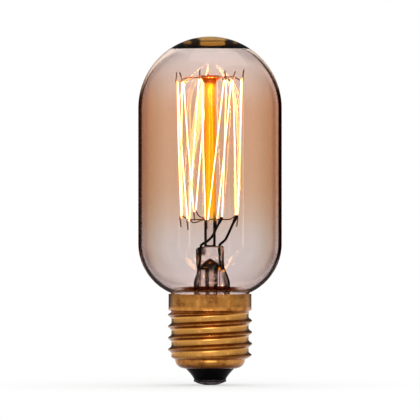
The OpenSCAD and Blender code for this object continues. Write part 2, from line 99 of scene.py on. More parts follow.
def around(turn: Array | float, radius: Array | float, height: Array | float) -> Array:
    """Points at a turn in degrees from the front towards +X, a distance from the axis and a height."""
    a = np.radians(turn)
    return np.stack(np.broadcast_arrays(radius * np.sin(a), -radius * np.cos(a), height), axis=-1)


def arc(centre: Pair, radius: float, start: float, end: float, steps: int) -> Array:
    """Points centre + radius (cos a, sin a), with the angle a from start to end in degrees."""
    a = np.radians(np.linspace(start, end, steps + 1))
    return np.column_stack([centre[0] + radius * np.cos(a), centre[1] + radius * np.sin(a)])


def refine(path: Array, times: int = 4) -> Array:
    """Cut each corner of a path at a quarter of both runs, as often as asked.

    Args:
        path: points of the path.
        times: how often the corners are cut.

    Returns:
        The bent path, with the two ends where they were.
    """
    for _ in range(times):
        near = 0.75 * path[:-1] + 0.25 * path[1:]
        far = 0.25 * path[:-1] + 0.75 * path[1:]
        cut = np.stack([near, far], axis=1).reshape(-1, path.shape[1])
        path = np.vstack([path[:1], cut, path[-1:]])
    return path


def resample(profile: Array, step: float) -> Array:
    """Add points along a profile wherever two of its points lie further apart than step.

    Args:
        profile: points of the profile, with any number of columns.
        step: the longest distance allowed.

    Returns:
        The profile with every old point kept.
    """
    length = np.linalg.norm(np.diff(profile, axis=0), axis=1)
    counts = np.maximum(np.ceil(length / step).astype(int), 1)
    start = np.repeat(np.arange(len(counts)), counts)
    share = (np.arange(counts.sum()) - np.repeat(np.cumsum(counts) - counts, counts)) / counts[start]
    points = profile[start] + share[:, None] * (profile[start + 1] - profile[start])
    return np.vstack([points, profile[-1:]])


def lathe(profile: Array, columns: int, step: float = math.inf) -> Array:
    """Turn a profile around the Z axis: (r cos a, r sin a, z) for each of its points (r, z).

    Args:
        profile: points of distance from the axis and height, ordered so that faces point outwards.
        columns: number of steps around.
        step: the longest distance between two points of the profile.

    Returns:
        The grid of points.
    """
    a, profile = full_turn(columns), resample(profile, step)
    r, z = profile[:, :1], profile[:, 1:2]
    return np.stack([r * np.cos(a), r * np.sin(a), np.broadcast_to(z, (len(profile), columns))], axis=-1)


def wire(path: Array, radius: Array | float, across: Array, sides: int) -> Array:
    """Carry a circle along a path: p + r (cos a u + sin a v), with u and v square to the path.

    Rings that shrink to a point round both cut ends.

    Args:
        path: points along the middle of the wire.
        radius: radius at each point, or one for all.
        across: a direction across the wire at each point, or one for all.
        sides: number of steps around.

    Returns:
        The grid of points.
    """
    beyond = 1 - np.sin(np.linspace(0, np.pi / 2, END_RINGS + 1)[:-1])
    ring = np.sqrt(np.clip(1 - beyond ** 2, 0, 1))
    radius = np.broadcast_to(radius, len(path))
    across = np.pad(np.broadcast_to(across, path.shape), ((END_RINGS, END_RINGS), (0, 0)), mode="edge")
    first = path[0] + END_LENGTH * radius[0] * beyond[:, None] * unit(path[0] - path[1])
    last = path[-1] + END_LENGTH * radius[-1] * beyond[::-1, None] * unit(path[-1] - path[-2])
    path = np.vstack([first, path, last])
    radius = np.concatenate([radius[0] * ring, radius, radius[-1] * ring[::-1]])[:, None, None]
    along = np.gradient(path, axis=0)
    along = unit(np.where(np.linalg.norm(along, axis=1, keepdims=True) > 1e-9, along, [0, 0, 1]))
    u = unit(across - np.sum(across * along, axis=1, keepdims=True) * along)
    v = np.cross(along, u)
    a = full_turn(sides)[None, :, None]
    return path[:, None] + radius * (np.cos(a) * u[:, None] + np.sin(a) * v[:, None])


def grid_object(name: str, points: Array, marks: dict[str, Array]) -> bpy.types.Object:
    """Make a closed surface from a grid of points whose columns run around the piece.

    Args:
        name: name of the object.
        points: rows x columns x 3, in millimetres; the last row of a ring repeats its first.
        marks: for each attribute that a finish reads, its value at the points.

    Returns:
        The linked object, with coincident points merged.
    """
    rows, columns = points.shape[:2]
    row, column = columns * np.arange(rows - 1)[:, None], np.arange(columns)
    after = (column + 1) % columns
    faces = np.stack([row + column, row + after, row + columns + after, row + columns + column], axis=-1)
    mesh = bpy.data.meshes.new(name)
    mesh.from_pydata((points.reshape(-1, 3) * MM).tolist(), [], faces.reshape(-1, 4).tolist())
    for key, values in marks.items():
        filled = np.broadcast_to(values, (rows, columns)).astype(np.float32).ravel()
        mesh.attributes.new(key, "FLOAT", "POINT").data.foreach_set("value", filled)
    merged = bmesh.new()
    merged.from_mesh(mesh)
    bmesh.ops.remove_doubles(merged, verts=merged.verts, dist=1e-8)
    bmesh.ops.dissolve_degenerate(merged, edges=merged.edges, dist=1e-9)
    merged.to_mesh(mesh)
    merged.free()
    mesh.shade_smooth()
    obj = bpy.data.objects.new(name, mesh)
    bpy.context.scene.collection.objects.link(obj)
    return obj


# Colours and nodes


def linear(tone: str | float) -> Colour:
    """Turn an sRGB colour into a linear one.

    Args:
        tone: hex colour, or a number for a linear grey.

    Returns:
        Linear red, green, blue and alpha.
    """
    if not isinstance(tone, str):
        return (tone, tone, tone, 1.0)
    srgb = np.array([int(tone[i:i + 2], 16) for i in (1, 3, 5)]) / 255
    rgb = np.where(srgb <= 0.04045, srgb / 12.92, ((srgb + 0.055) / 1.055) ** 2.4)
    return (*rgb.tolist(), 1.0)


def add_node(
    tree: bpy.types.NodeTree, kind: str, *feeds: object, out: str | int = 0, stops: Stops = (),
    mode: str = "EASE", **settings: object,
) -> Socket | None:
    """Add a node, set its properties, fill or link its inputs and, on a colour ramp, place its stops.

    Args:
        tree: the node tree.
        kind: type of the node, without the leading "ShaderNode".
        feeds: what its inputs take, in order: a value, a hex colour or another node's socket. A
            dictionary says the same for inputs by their names.
        out: name or number of the output that is wanted.
        stops: positions along a ramp, in order, each with a hex colour or a grey level.
        mode: how a ramp runs between its stops.
        settings: properties of the node.

    Returns:
        The output, or None from a node without one.
    """
    node = tree.nodes.new("ShaderNode" + kind)
    for key, value in settings.items():
        setattr(node, key, value)
    inputs = {}
    for number, feed in enumerate(feeds):
        inputs.update(feed if isinstance(feed, dict) else {number: feed})
    for key, value in inputs.items():
        if isinstance(value, Socket):
            tree.links.new(value, node.inputs[key])
        else:
            node.inputs[key].default_value = linear(value) if isinstance(value, str) else value
    if stops:
        node.color_ramp.interpolation = mode
        elements = node.color_ramp.elements
        for _ in stops[2:]:
            elements.new(0.5)
        for element, (position, tone) in zip(elements, stops):
            element.position = position
            element.color = linear(tone)
    return node.outputs[out] if node.outputs else None


def height_share(add: Add, low: float, high: float) -> Socket:
    """The height as a share from low to high, in millimetres."""
    z = add("SeparateXYZ", add("TexCoord", out="Object"), out="Z")
    return add("MapRange", z, low * MM, high * MM)


def mottle(
    add: Add, spot_mm: float, detail: float, stops: Stops, rough: float = 0.5
) -> tuple[Socket, Socket]:
    """Cloudy noise with spots of a real size, and the colours of a ramp that follows it.

    Args:
        add: adds a node.
        spot_mm: size of the spots in millimetres.
        detail: how many finer layers it has.
        stops: positions along the ramp with their colours.
        rough: how strong the finer layers are.

    Returns:
        The noise and the colours.
    """
    sizes = {"Scale": 1 / (spot_mm * MM), "Detail": detail, "Roughness": rough}
    noise = add("TexNoise", add("TexCoord", out="Object"), sizes)
    return noise, add("ValToRGB", noise, stops=stops)


def spot_share(add: Add, centre: Place, halves: Place, core: float) -> Socket:
    """1 in the core of a soft spot, falling to 0 at its edge.

    Args:
        add: adds a node.
        centre: middle of the spot in millimetres.
        halves: half sizes of the spot along the axes.
        core: share of the spot that is its core.

    Returns:
        The share.
    """
    location, scale = -np.array(centre) / halves, 1 / (np.array(halves) * MM)
    scaled = add("Mapping", add("TexCoord", out="Object"), {"Location": location, "Scale": scale})
    away = add("VectorMath", scaled, out="Value", operation="LENGTH")
    return add("MapRange", away, 1.0, core, interpolation_type="SMOOTHSTEP")


def seen_directly(add: Add) -> Socket:
    """1 for what the camera sees straight on or through glass, and 0 for mirror images and the rest.

    Args:
        add: adds a node.

    Returns:
        The share.
    """
    depth, through, straight = (
        add("LightPath", out=name) for name in ("Glossy Depth", "Is Transmission Ray", "Is Camera Ray")
    )
    unmirrored = add("Math", depth, 0.5, operation="LESS_THAN")
    through = add("Math", through, unmirrored, operation="MULTIPLY")
    return add("Math", straight, through, operation="MAXIMUM")


def let_lamps_through(add: Add, surface: Socket, tint: str) -> Socket:
    """Let lamps shine through a glass wall unbent, with a tint, so that what is inside is lit."""
    clear = add("BsdfTransparent", tint)
    return add("MixShader", add("LightPath", out="Is Shadow Ray"), surface, clear)


# Finishes


@dataclass(frozen=True)
class Finish:
    """A finish: the real material and how its surface was made."""

    name: str

    def shade(self, add: Add) -> Feeds:
        """Add the nodes, and say what feeds the material's output.

        Args:
            add: adds a node.

        Returns:
            What feeds the material's output.
        """
        raise NotImplementedError

    def material(self) -> bpy.types.Material:
        """The finish as a material, built once.

        Returns:
            The material.
        """
        made = bpy.data.materials.get(self.name)
        if not made:
            made = bpy.data.materials.new(self.name)
            made.use_nodes = True
            made.node_tree.nodes.clear()
            add = partial(add_node, made.node_tree)
            add("OutputMaterial", self.shade(add))
        return made


@dataclass(frozen=True)
class BlownGlass(Finish):
    """Blown soda-lime glass with an amber stain.

    The tube was blown in a mould and is fire-polished, so it is smooth and clear. The stain is
    strongest around the middle, and there the glow of the filament is painted into its colour too.
    Seen edge-on the outer face is painted deep brown, a painted shade for the dark surround that
    the curved wall shows. A thin brown band in front, just above the cap, is painted shade and a
    painted reflection of the brass.
    """

    low: float = 24.0
    high: float = 109.3
    # Tint by height: partly the amber stain, and partly the filament's glow painted in around the middle.
    heights: Stops = (
        (0.10, "#f9f5fa"), (0.18, "#f8f5f9"), (0.27, "#f8f4f7"), (0.34, "#f8f0ee"), (0.45, "#f8ebe4"),
        (0.72, "#f9eae2"), (0.80, "#fbf0ed"), (0.93, "#fdfaff"),
    )
    # Painted shade: the outer face is painted darker, to brown-black, as it turns edge-on.
    edges: Stops = (
        (0.20, WHITE), (0.367, "#f2ece2"), (0.462, "#e4d6cb"), (0.525, "#d7c0b4"), (0.555, "#d5bdb2"),
        (0.583, "#dac6bd"), (0.614, "#dfcfd0"), (0.65, "#e5dee9"), (0.69, "#d7cdd1"), (0.735, "#795f52"),
        (0.79, "#48200d"), (0.82, "#381603"),
    )
    one_wall: str = "#f4e6dc"
    through: str = "#e7d684"
    density: float = 200.0
    index: float = 1.5
    # Painted shade and a painted reflection of the brass: a thin brown band on the front of the neck, just
    # above the cap.
    neck_shade_tone: str = "#96593c"
    neck_shade_centre: Place = (0.0, -13.5, 30.6)
    neck_shade_halves: Place = (10.4, 11.0, 0.8)
    neck_shade_core: float = 0.7

    def shade(self, add: Add) -> Feeds:
        """Glass whose colour goes with height, and is painted darker towards the edge of the outer face.

        Args:
            add: adds a node.

        Returns:
            What feeds the material's output.
        """
        height = height_share(add, self.low, self.high)
        body = add("ValToRGB", height, stops=self.heights, mode="B_SPLINE")
        # Painted shade: the dark rim, on the outer face only, as much as the mesh attribute gives.
        edge = add("ValToRGB", add("LayerWeight", out="Facing"), stops=self.edges, mode="LINEAR")
        outside = add("Attribute", out="Fac", attribute_name="rim_depth")
        painted_rim_colour = add("MixRGB", outside, WHITE, edge)
        colour = add("MixRGB", 1.0, body, painted_rim_colour, blend_type="MULTIPLY")
        # The painted brown band on the front of the neck.
        neck_shade_share = spot_share(add, self.neck_shade_centre, self.neck_shade_halves, self.neck_shade_core)
        colour = add("MixRGB", neck_shade_share, colour, self.neck_shade_tone)
        glass = add("BsdfGlass", {"Color": colour, "Roughness": 0.0, "IOR": self.index})
        depth = add("VolumeAbsorption", {"Color": self.through, "Density": self.density})
        return {"Surface": let_lamps_through(add, glass, self.one_wall), "Volume": depth}


@dataclass(frozen=True)
class FlameWorkedGlass(Finish):
    """Clear lead glass, drawn and pressed soft in a flame.

    It has no stain of its own. Its edges are painted brown-black, a painted shade for the dark surround
    that curved glass shows, and where the glass was folded in the press it takes a painted brown shade.
    The rod among the glowing strands has their light painted in as an amber glow over that stretch,
    and the front of the press has a few painted flecks of that light.
    """

    tint: str = "#fbf8f7"
    # Painted shade: the tones that the glass is painted as it turns edge-on, and where along the turn they
    # start.
    rim: str = "#8d7a73"
    edge: str = "#1c0d08"
    rim_shade_at: float = 0.5
    edge_shade_at: float = 0.64
    one_wall: str = "#fbf7f4"
    index: float = 1.56
    # Painted brown shade where the glass was folded, mottled, with a top tone of painted amber light.
    fold_shade_mm: float = 0.76923
    painted_fold_shade: Stops = ((0.42, "#4a2412"), (0.58, "#a8856c"), (0.66, "#ffc878"))
    # Painted flecks of amber light, given as emission: their colour and strength.
    glint: str = "#ff9a1c"
    painted_glint_strength: float = 0.0
    glow_low: float = 50.5
    glow_high: float = 97.0
    glow: str = "#ffe040"
    glow_tint: str = "#ffc830"
    glow_edge: str = "#b05a00"
    glow_reach: Stops = ((0.0, 0.0), (0.1, 1.0), (0.93, 1.0), (0.965, 0.6))
    glow_top: Stops = ((0.92, WHITE), (0.97, "#ff9a48"))
    glow_strength: float = 0.0

    def shade(self, add: Add) -> Feeds:
        """Glass with painted dark edges and painted brown shade where it was folded, and with a painted amber
        glow and painted flecks of light where it has them.

        Args:
            add: adds a node.

        Returns:
            What feeds the material's output.
        """
        facing = add("LayerWeight", out="Facing")
        # Painted shade: the glass is painted darker towards its edges as it turns edge-on.
        stops = ((self.rim_shade_at * 0.6, self.tint), (self.rim_shade_at, self.rim), (self.edge_shade_at, self.edge))
        colour = add("ValToRGB", facing, stops=stops, mode="LINEAR")
        # Painted shade on the folded glass, where the mesh marks it.
        _, brown = mottle(add, self.fold_shade_mm, 3.0, self.painted_fold_shade)
        fold = add("Attribute", out="Fac", attribute_name="fold")
        colour = add("MixRGB", fold, colour, brown)
        lights = []
        # Painted glow: the strands' light painted into the rod as amber colour and emission.
        if self.glow_strength:
            share = height_share(add, self.glow_low, self.glow_high)
            lit = add("ValToRGB", share, stops=self.glow_reach)
            stops = ((self.rim_shade_at * 0.5, self.glow_tint), (self.edge_shade_at, self.glow_edge))
            amber = add("ValToRGB", facing, stops=stops, mode="LINEAR")
            deeper = add("ValToRGB", share, stops=self.glow_top)
            amber, shine = (
                add("MixRGB", 1.0, tone, deeper, blend_type="MULTIPLY")
                for tone in (amber, self.glow)
            )
            colour = add("MixRGB", lit, colour, amber)
            lights.append((shine, lit, self.glow_strength))
        # Painted flecks of amber light, where the mesh marks them.
        if self.painted_glint_strength:
            spots = add("Attribute", out="Fac", attribute_name="glint")
            lights.append((self.glint, spots, self.painted_glint_strength))
        glass = add("BsdfGlass", {"Color": colour, "Roughness": 0.0, "IOR": self.index})
        for tone, share, strength in lights:
            power = add("Math", share, strength, operation="MULTIPLY")
            glass = add("AddShader", glass, add("Emission", tone, power))
        return {"Surface": let_lamps_through(add, glass, self.one_wall)}


@dataclass(frozen=True)
class GlowingCarbon(Finish):
    """Carbonised thread at about 2000 K: matte black when cold. Lit, its middle looks white and its
    sides orange, and the glass around it mirrors it, most of all near the dome."""

    grain_mm: float = 1.11111
    soot: Stops = ((0.3, "#0c0908"), (0.7, "#1a1412"))
    roughness: float = 0.85
    heat: Stops = ((0.12, "#ffeac4"), (0.40, "#ff8e00"))
    strength: float = 6.0
    low: float = 50.0
    high: float = 97.0
    mirrored: str = "#ffcb6f"
    mirrored_reach: Stops = ((0.0, 0.004), (0.25, 0.06), (0.7, 0.07), (0.82, 0.14), (0.94, 1.0))
    mirrored_strength: float = 520.0

    def shade(self, add: Add) -> Feeds:
        """A glow over rough black carbon: white in the middle of the thread and orange at its sides.

        Args:
            add: adds a node.

        Returns:
            What feeds the material's output.
        """
        _, soot = mottle(add, self.grain_mm, 2.0, self.soot)
        heat = add("ValToRGB", add("LayerWeight", out="Facing"), stops=self.heat, mode="LINEAR")
        share = add("ValToRGB", height_share(add, self.low, self.high), stops=self.mirrored_reach)
        power = add("Math", share, self.mirrored_strength, operation="MULTIPLY")
        thread, image = (
            add("BsdfPrincipled", {
                "Base Color": soot, "Roughness": self.roughness, "Emission Color": tone,
                "Emission Strength": level,
            })
            for tone, level in ((heat, self.strength), (self.mirrored, power))
        )
        straight, through = (add("LightPath", out=f"Is {ray} Ray") for ray in ("Camera", "Transmission"))
        seen = add("Math", straight, through, operation="MAXIMUM")
        return {"Surface": add("MixShader", seen, image, thread)}


@dataclass(frozen=True)
class DrawnWire(Finish):
    """Drawn wire: a smooth drawn skin under an oxide that mottles its colour and dulls its shine."""

    dark: str
    light: str
    metallic: float = 1.0
    roughness: float = 0.38
    specular: float = 0.5
    spot_mm: float = 0.6
    uneven: Pair = (-0.08, 0.12)
    relief: float = 0.15
    relief_mm: float = 0.02

    def shade(self, add: Add) -> Feeds:
        """Metal with a mottled oxide.

        Args:
            add: adds a node.

        Returns:
            What feeds the material's output.
        """
        spots, colour = mottle(add, self.spot_mm, 4.0, ((0.35, self.dark), (0.7, self.light)))
        low, high = (self.roughness + change for change in self.uneven)
        return {"Surface": add("BsdfPrincipled", {
            "Base Color": colour, "Metallic": self.metallic, "Specular IOR Level": self.specular,
            "Roughness": add("MapRange", spots, {"To Min": low, "To Max": high}),
            "Normal": add("Bump", self.relief, self.relief_mm * MM, {"Height": spots}),
        })}


@dataclass(frozen=True)
class RolledBrass(Finish):
    """Thin brass sheet, drawn to a cup and rolled to a thread, handled and aged.

    The grooves are painted a lighter gold, a painted highlight for the light they mirror. The flanks of
    the thread and the lip of the skirt are painted brown, a painted shade, less so on the crests. The
    plain collar has faint upright scuffs and cloudy brown patches a few millimetres wide.
    """

    brown: str = "#945b2a"
    cloud_mm: float = 3.0303
    clouds: Stops = ((0.36, brown), (0.52, "#bd7f3c"), (0.68, "#cf9450"))
    patch_mm: float = 8.33333
    # Painted highlight: the grooves are painted a lighter gold for the light they mirror.
    groove: Stops = ((0.30, "#b98444"), (0.50, "#d7994d"))
    scuff_mm: float = 1.0
    scuffed: Remap = (0.5, 0.85, 0.0, 0.3)
    roughness: Remap = (0.3, 0.7, 0.3, 0.2)
    relief: float = 0.06
    relief_mm: float = 0.02
    # Painted shade: the brown painted on the thread's flanks and the skirt's lip, and how strongly, by the
    # mesh attribute.
    crest: str = "#7a3f08"
    shell_shade_ramp: Stops = ((0.04, 0.0), (0.3, 0.85), (0.6, 0.8), (0.95, 0.4))

    def shade(self, add: Add) -> Feeds:
        """Metal whose colour follows clouds, scuffs, the painted sheen of the grooves and the painted shade
        of the shell.

        Args:
            add: adds a node.

        Returns:
            What feeds the material's output.
        """
        _, colour = mottle(add, self.cloud_mm, 5.0, self.clouds, 0.6)
        # Painted highlight: the lighter gold painted into the grooves, mottled; the same noise varies the
        # roughness.
        patches, kept = mottle(add, self.patch_mm, 4.0, self.groove)
        upright = add("Mapping", add("TexCoord", out="Object"), {"Scale": (1.0, 1.0, 0.1)})
        scuffs = add("TexNoise", upright, {"Scale": 1 / (self.scuff_mm * MM), "Detail": 3.0})
        marks = add("MapRange", scuffs, *self.scuffed)
        # The painted sheen of the grooves and the painted shade of the shell, as the mesh marks them.
        groove, crest = (add("Attribute", out="Fac", attribute_name=key) for key in ("groove", "crest"))
        shell_shade_ramp = add("ValToRGB", crest, stops=self.shell_shade_ramp, mode="LINEAR")
        for share, tone in ((marks, self.brown), (groove, kept), (shell_shade_ramp, self.crest)):
            colour = add("MixRGB", share, colour, tone)
        return {"Surface": add("BsdfPrincipled", {
            "Base Color": colour, "Metallic": 1.0, "Roughness": add("MapRange", patches, *self.roughness),
            "Normal": add("Bump", self.relief, self.relief_mm * MM, {"Height": scuffs}),
        })}


@dataclass(frozen=True)
class Mineral(Finish):
    """A mineral or tarnished surface: two tones in grains, with its own gloss and relief."""

    dark: str
    light: str
    grain_mm: float
    roughness: float
    relief: float
    metallic: float = 0.0
    specular: float = 0.5
    relief_mm: float = 0.1

    def shade(self, add: Add) -> Feeds:
        """Grains of two tones with relief.

        Args:
            add: adds a node.

        Returns:
            What feeds the material's output.
        """
        grains, colour = mottle(add, self.grain_mm, 5.0, ((0.35, self.dark), (0.68, self.light)))
        return {"Surface": add("BsdfPrincipled", {
            "Base Color": colour, "Roughness": self.roughness, "Metallic": self.metallic,
            "Normal": add("Bump", self.relief, self.relief_mm * MM, {"Height": grains}),
            "Specular IOR Level": self.specular,
        })}


@dataclass(frozen=True)
class WhitePaper(Finish):
    """Matte white paper under the lamp.

    It reads as white to the camera, a little less so near the lamp, where its shadow shows. Satin
    metal mirrors a brightly lit stretch of it in front of the cap, and smooth glass a dim room.
    """

    near: Pair = (0.03, 0.25)
    near_white: float = 0.55
    gleam: float = 5.0
    gleam_centre: Place = (0.0, -50.0, 0.0)
    gleam_halves: Place = (22.0, 30.0, math.inf)
    gleam_core: float = 0.3

    def shade(self, add: Add) -> Feeds:
        """Paper for the lamps, and plain light of three strengths for what sees it in another way.

        Args:
            add: adds a node.

        Returns:
            What feeds the material's output.
        """
        away = add("VectorMath", add("TexCoord", out="Object"), out="Value", operation="LENGTH")
        fade = add("MapRange", away, *self.near, self.near_white, interpolation_type="SMOOTHSTEP")
        seen = seen_directly(add)
        share = add("Math", seen, fade, operation="MULTIPLY")
        lit = spot_share(add, self.gleam_centre, self.gleam_halves, self.gleam_core)
        lit = add("Math", lit, add("LightPath", out="Is Glossy Ray"), operation="MULTIPLY")
        mirrored = add(
            "Math", add("LightPath", out="Is Singular Ray"), seen, operation="SUBTRACT", use_clamp=True
        )
        mixed = add("BsdfDiffuse", "#f6f6f6")
        for way, strength in ((lit, self.gleam), (share, 1.0), (mirrored, DIM)):
            glow = add("Emission", WHITE, strength)
            mixed = add("MixShader", way, mixed, glow)
        return {"Surface": mixed}


class Finishes(Enum):
    """The finishes of the lamp, each with the record's material slot."""

    AMBER_GLASS = (BlownGlass("soda_lime_glass_amber_stained"), "amber_glass")
    STEM_GLASS = (FlameWorkedGlass("lead_glass_pressed", painted_glint_strength=1.4), "clear_glass")
    # The exhaust tube and the rod have their own painted shade tones for their edges.
    TUBE_GLASS = (
        FlameWorkedGlass("lead_glass_drawn_tube", rim="#8a7872", edge="#3c2c28", rim_shade_at=0.3, edge_shade_at=0.62),
        "clear_glass",
    )
    ROD_GLASS = (
        FlameWorkedGlass("lead_glass_drawn_rod", rim="#4a342c", rim_shade_at=0.2, edge_shade_at=0.34, glow_strength=0.42),
        "clear_glass",
    )
    CARBON = (GlowingCarbon("carbonised_thread_glowing"), "carbon")
    HOOK_WIRE = (DrawnWire("molybdenum_wire_drawn", "#5c3526", "#a06f58", 0.2, 0.55, 0.3), "hook_wire")
    NICKEL = (DrawnWire("nickel_wire_oxidised", "#050202", "#140a07", 0.0, 0.6, 0.12), "nickel_wire")
    SEAL = (DrawnWire("copper_clad_seal_wire", "#1c0803", "#45190c", 0.2, 0.5, 0.2), "seal_wire")
    COPPER = (DrawnWire("copper_wire_bare", "#8c4a2c", "#c9794c"), "copper_wire")
    BRASS = (RolledBrass("rolled_brass_aged"), "aged_brass")
    CEMENT = (Mineral("basing_cement_baked", "#7c5a3c", "#b58f66", 0.5, 0.9, 0.6), "cement")
    BLACK_GLASS = (
        Mineral("vitrified_black_glass_pressed", "#020102", "#060306", 1.5, 0.3, 0.05, specular=0.05),
        "black_glass",
    )
    # Painted shade: the contact's brass is painted near-black purple-grey, for the shade it sits in at the
    # foot of the lamp.
    CONTACT = (Mineral("brass_disc_painted_shade", "#1a1417", "#4a3d42", 0.7, 0.42, 0.2, 0.8), "contact_brass")
    SOLDER = (Mineral("tin_lead_solder_cast", "#4c4045", "#b9aab0", 1.1, 0.38, 0.5, 0.9), "solder")

    def dress(self, name: str, points: Array, node: str, **marks: Array) -> bpy.types.Object:
        """Make a piece in this finish, in place of a CAD node.

        Args:
            name: name of the piece.
            points: its grid of points in millimetres.
            node: name of the CAD node that it replaces.
            marks: for each attribute that the finish reads, its value at the points.

        Returns:
            The piece.
        """
        finish, slot = self.value
        piece = grid_object(name, points, marks)
        piece.data.materials.append(finish.material())
        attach(piece, BODY)
        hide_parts(node)
        log.info("%s: %d faces, for %s", name, len(piece.data.polygons), node)
        return piece

    def recoat(self, *nodes: str) -> None:
        """Give CAD nodes that stay in view this finish."""
        finish, _ = self.value
        for node in nodes:
            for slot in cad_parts[node].material_slots:
                slot.material = finish.material()
            log.info("%s: kept, with %s", node, finish.name)


# The glass


@dataclass
class Envelope:
    """The blown envelope: dome, straight tube, shoulder, the hollow curve at the rim, and neck."""

    top: float = 109.3
    radius: float = 22.5
    wall: float = 1.0
    shoulder_radius: float = 16.9
    curve_radius: float = 1.0
    neck_radius: float = 12.0
    neck_low: float = 25.0
    curve_height: float = 28.0915
    top_wall: float = 2.2
    top_hollow_radius: float = 32.0
    # Where the painted dark rim fades: its share, and the height and length of each fade.
    rim_shade_fades: tuple[tuple[float, float, float], ...] = ((0.95, 89.8, 11.0), (0.75, 42.0, -9.0))
    columns: int = 160

    def dome(self, inset: float) -> Array:
        """Quarter circle of the dome; inside it ends at the flatter arc that closes the hollow.

        Args:
            inset: distance inside the outer face.

        Returns:
            Points from the axis down to the straight tube.
        """
        centre = self.top - self.radius
        if not inset:
            return arc((0, centre), self.radius, 90, 0, 56)
        flat_centre = self.top - self.top_wall - self.top_hollow_radius
        gap = centre - flat_centre
        r, flat_r = self.radius - inset, self.top_hollow_radius
        meet = flat_centre + (flat_r ** 2 - r ** 2 + gap ** 2) / (2 * gap)
        return np.vstack([
            arc((0, flat_centre), flat_r, 90, math.degrees(math.asin((meet - flat_centre) / flat_r)), 24),
            arc((0, centre), r, math.degrees(math.asin((meet - centre) / r)), 0, 40)[1:],
        ])

    def face(self, inset: float) -> Array:
        """Quarter circle, straight line, arc of the shoulder, hollow arc and neck, drawn in by inset.

        Args:
            inset: distance inside the outer face.

        Returns:
            Points from the top of the dome down to the neck.
        """
        shoulder_r = self.radius - self.shoulder_radius
        curve_r = self.neck_radius + self.curve_radius
        drop = math.sqrt((self.shoulder_radius + self.curve_radius) ** 2 - (curve_r - shoulder_r) ** 2)
        end = -math.degrees(math.atan2(drop, curve_r - shoulder_r))
        return np.vstack([
            self.dome(inset),
            arc((shoulder_r, self.curve_height + drop), self.shoulder_radius - inset, 0, end, 36),
            arc((curve_r, self.curve_height), self.curve_radius + inset, end + 180, 180, 12)[1:],
            [[self.neck_radius - inset, self.neck_low]],
        ])

    def build(self) -> None:
        """Make the closed shell and dress it; its painted dark rim is lighter at the dome and near the neck.
        """
        inner, outer = (resample(face, 2.0) for face in (self.face(self.wall), self.face(0)[::-1]))
        inner[0, 0] = outer[-1, 0] = 0
        # Painted shade: how much of the dark rim each point takes, none on the inner face.
        depth = math.prod(1 - share * rise(outer[:, 1], *reach) for share, *reach in self.rim_shade_fades)
        depth = np.concatenate([np.zeros(len(inner)), depth])[:, None]
        points = lathe(np.vstack([inner, outer]), self.columns)
        Finishes.AMBER_GLASS.dress("envelope_blown", points, "glass_envelope", rim_depth=depth)


@dataclass(frozen=True)
class Patch:
    """A soft patch in the front view: level exp(-|dx / half_x|^n - |dz / half_z|^n)."""

    x: float
    z: float
    half_x: float
    half_z: float
    level: float
    power: int = 2

    def at(self, x: Array, z: Array) -> Array:
        """Its level at points of the front view."""
        across, up = (x - self.x) / self.half_x, (z - self.z) / self.half_z
        return self.level * np.exp(-across ** self.power - up ** self.power)


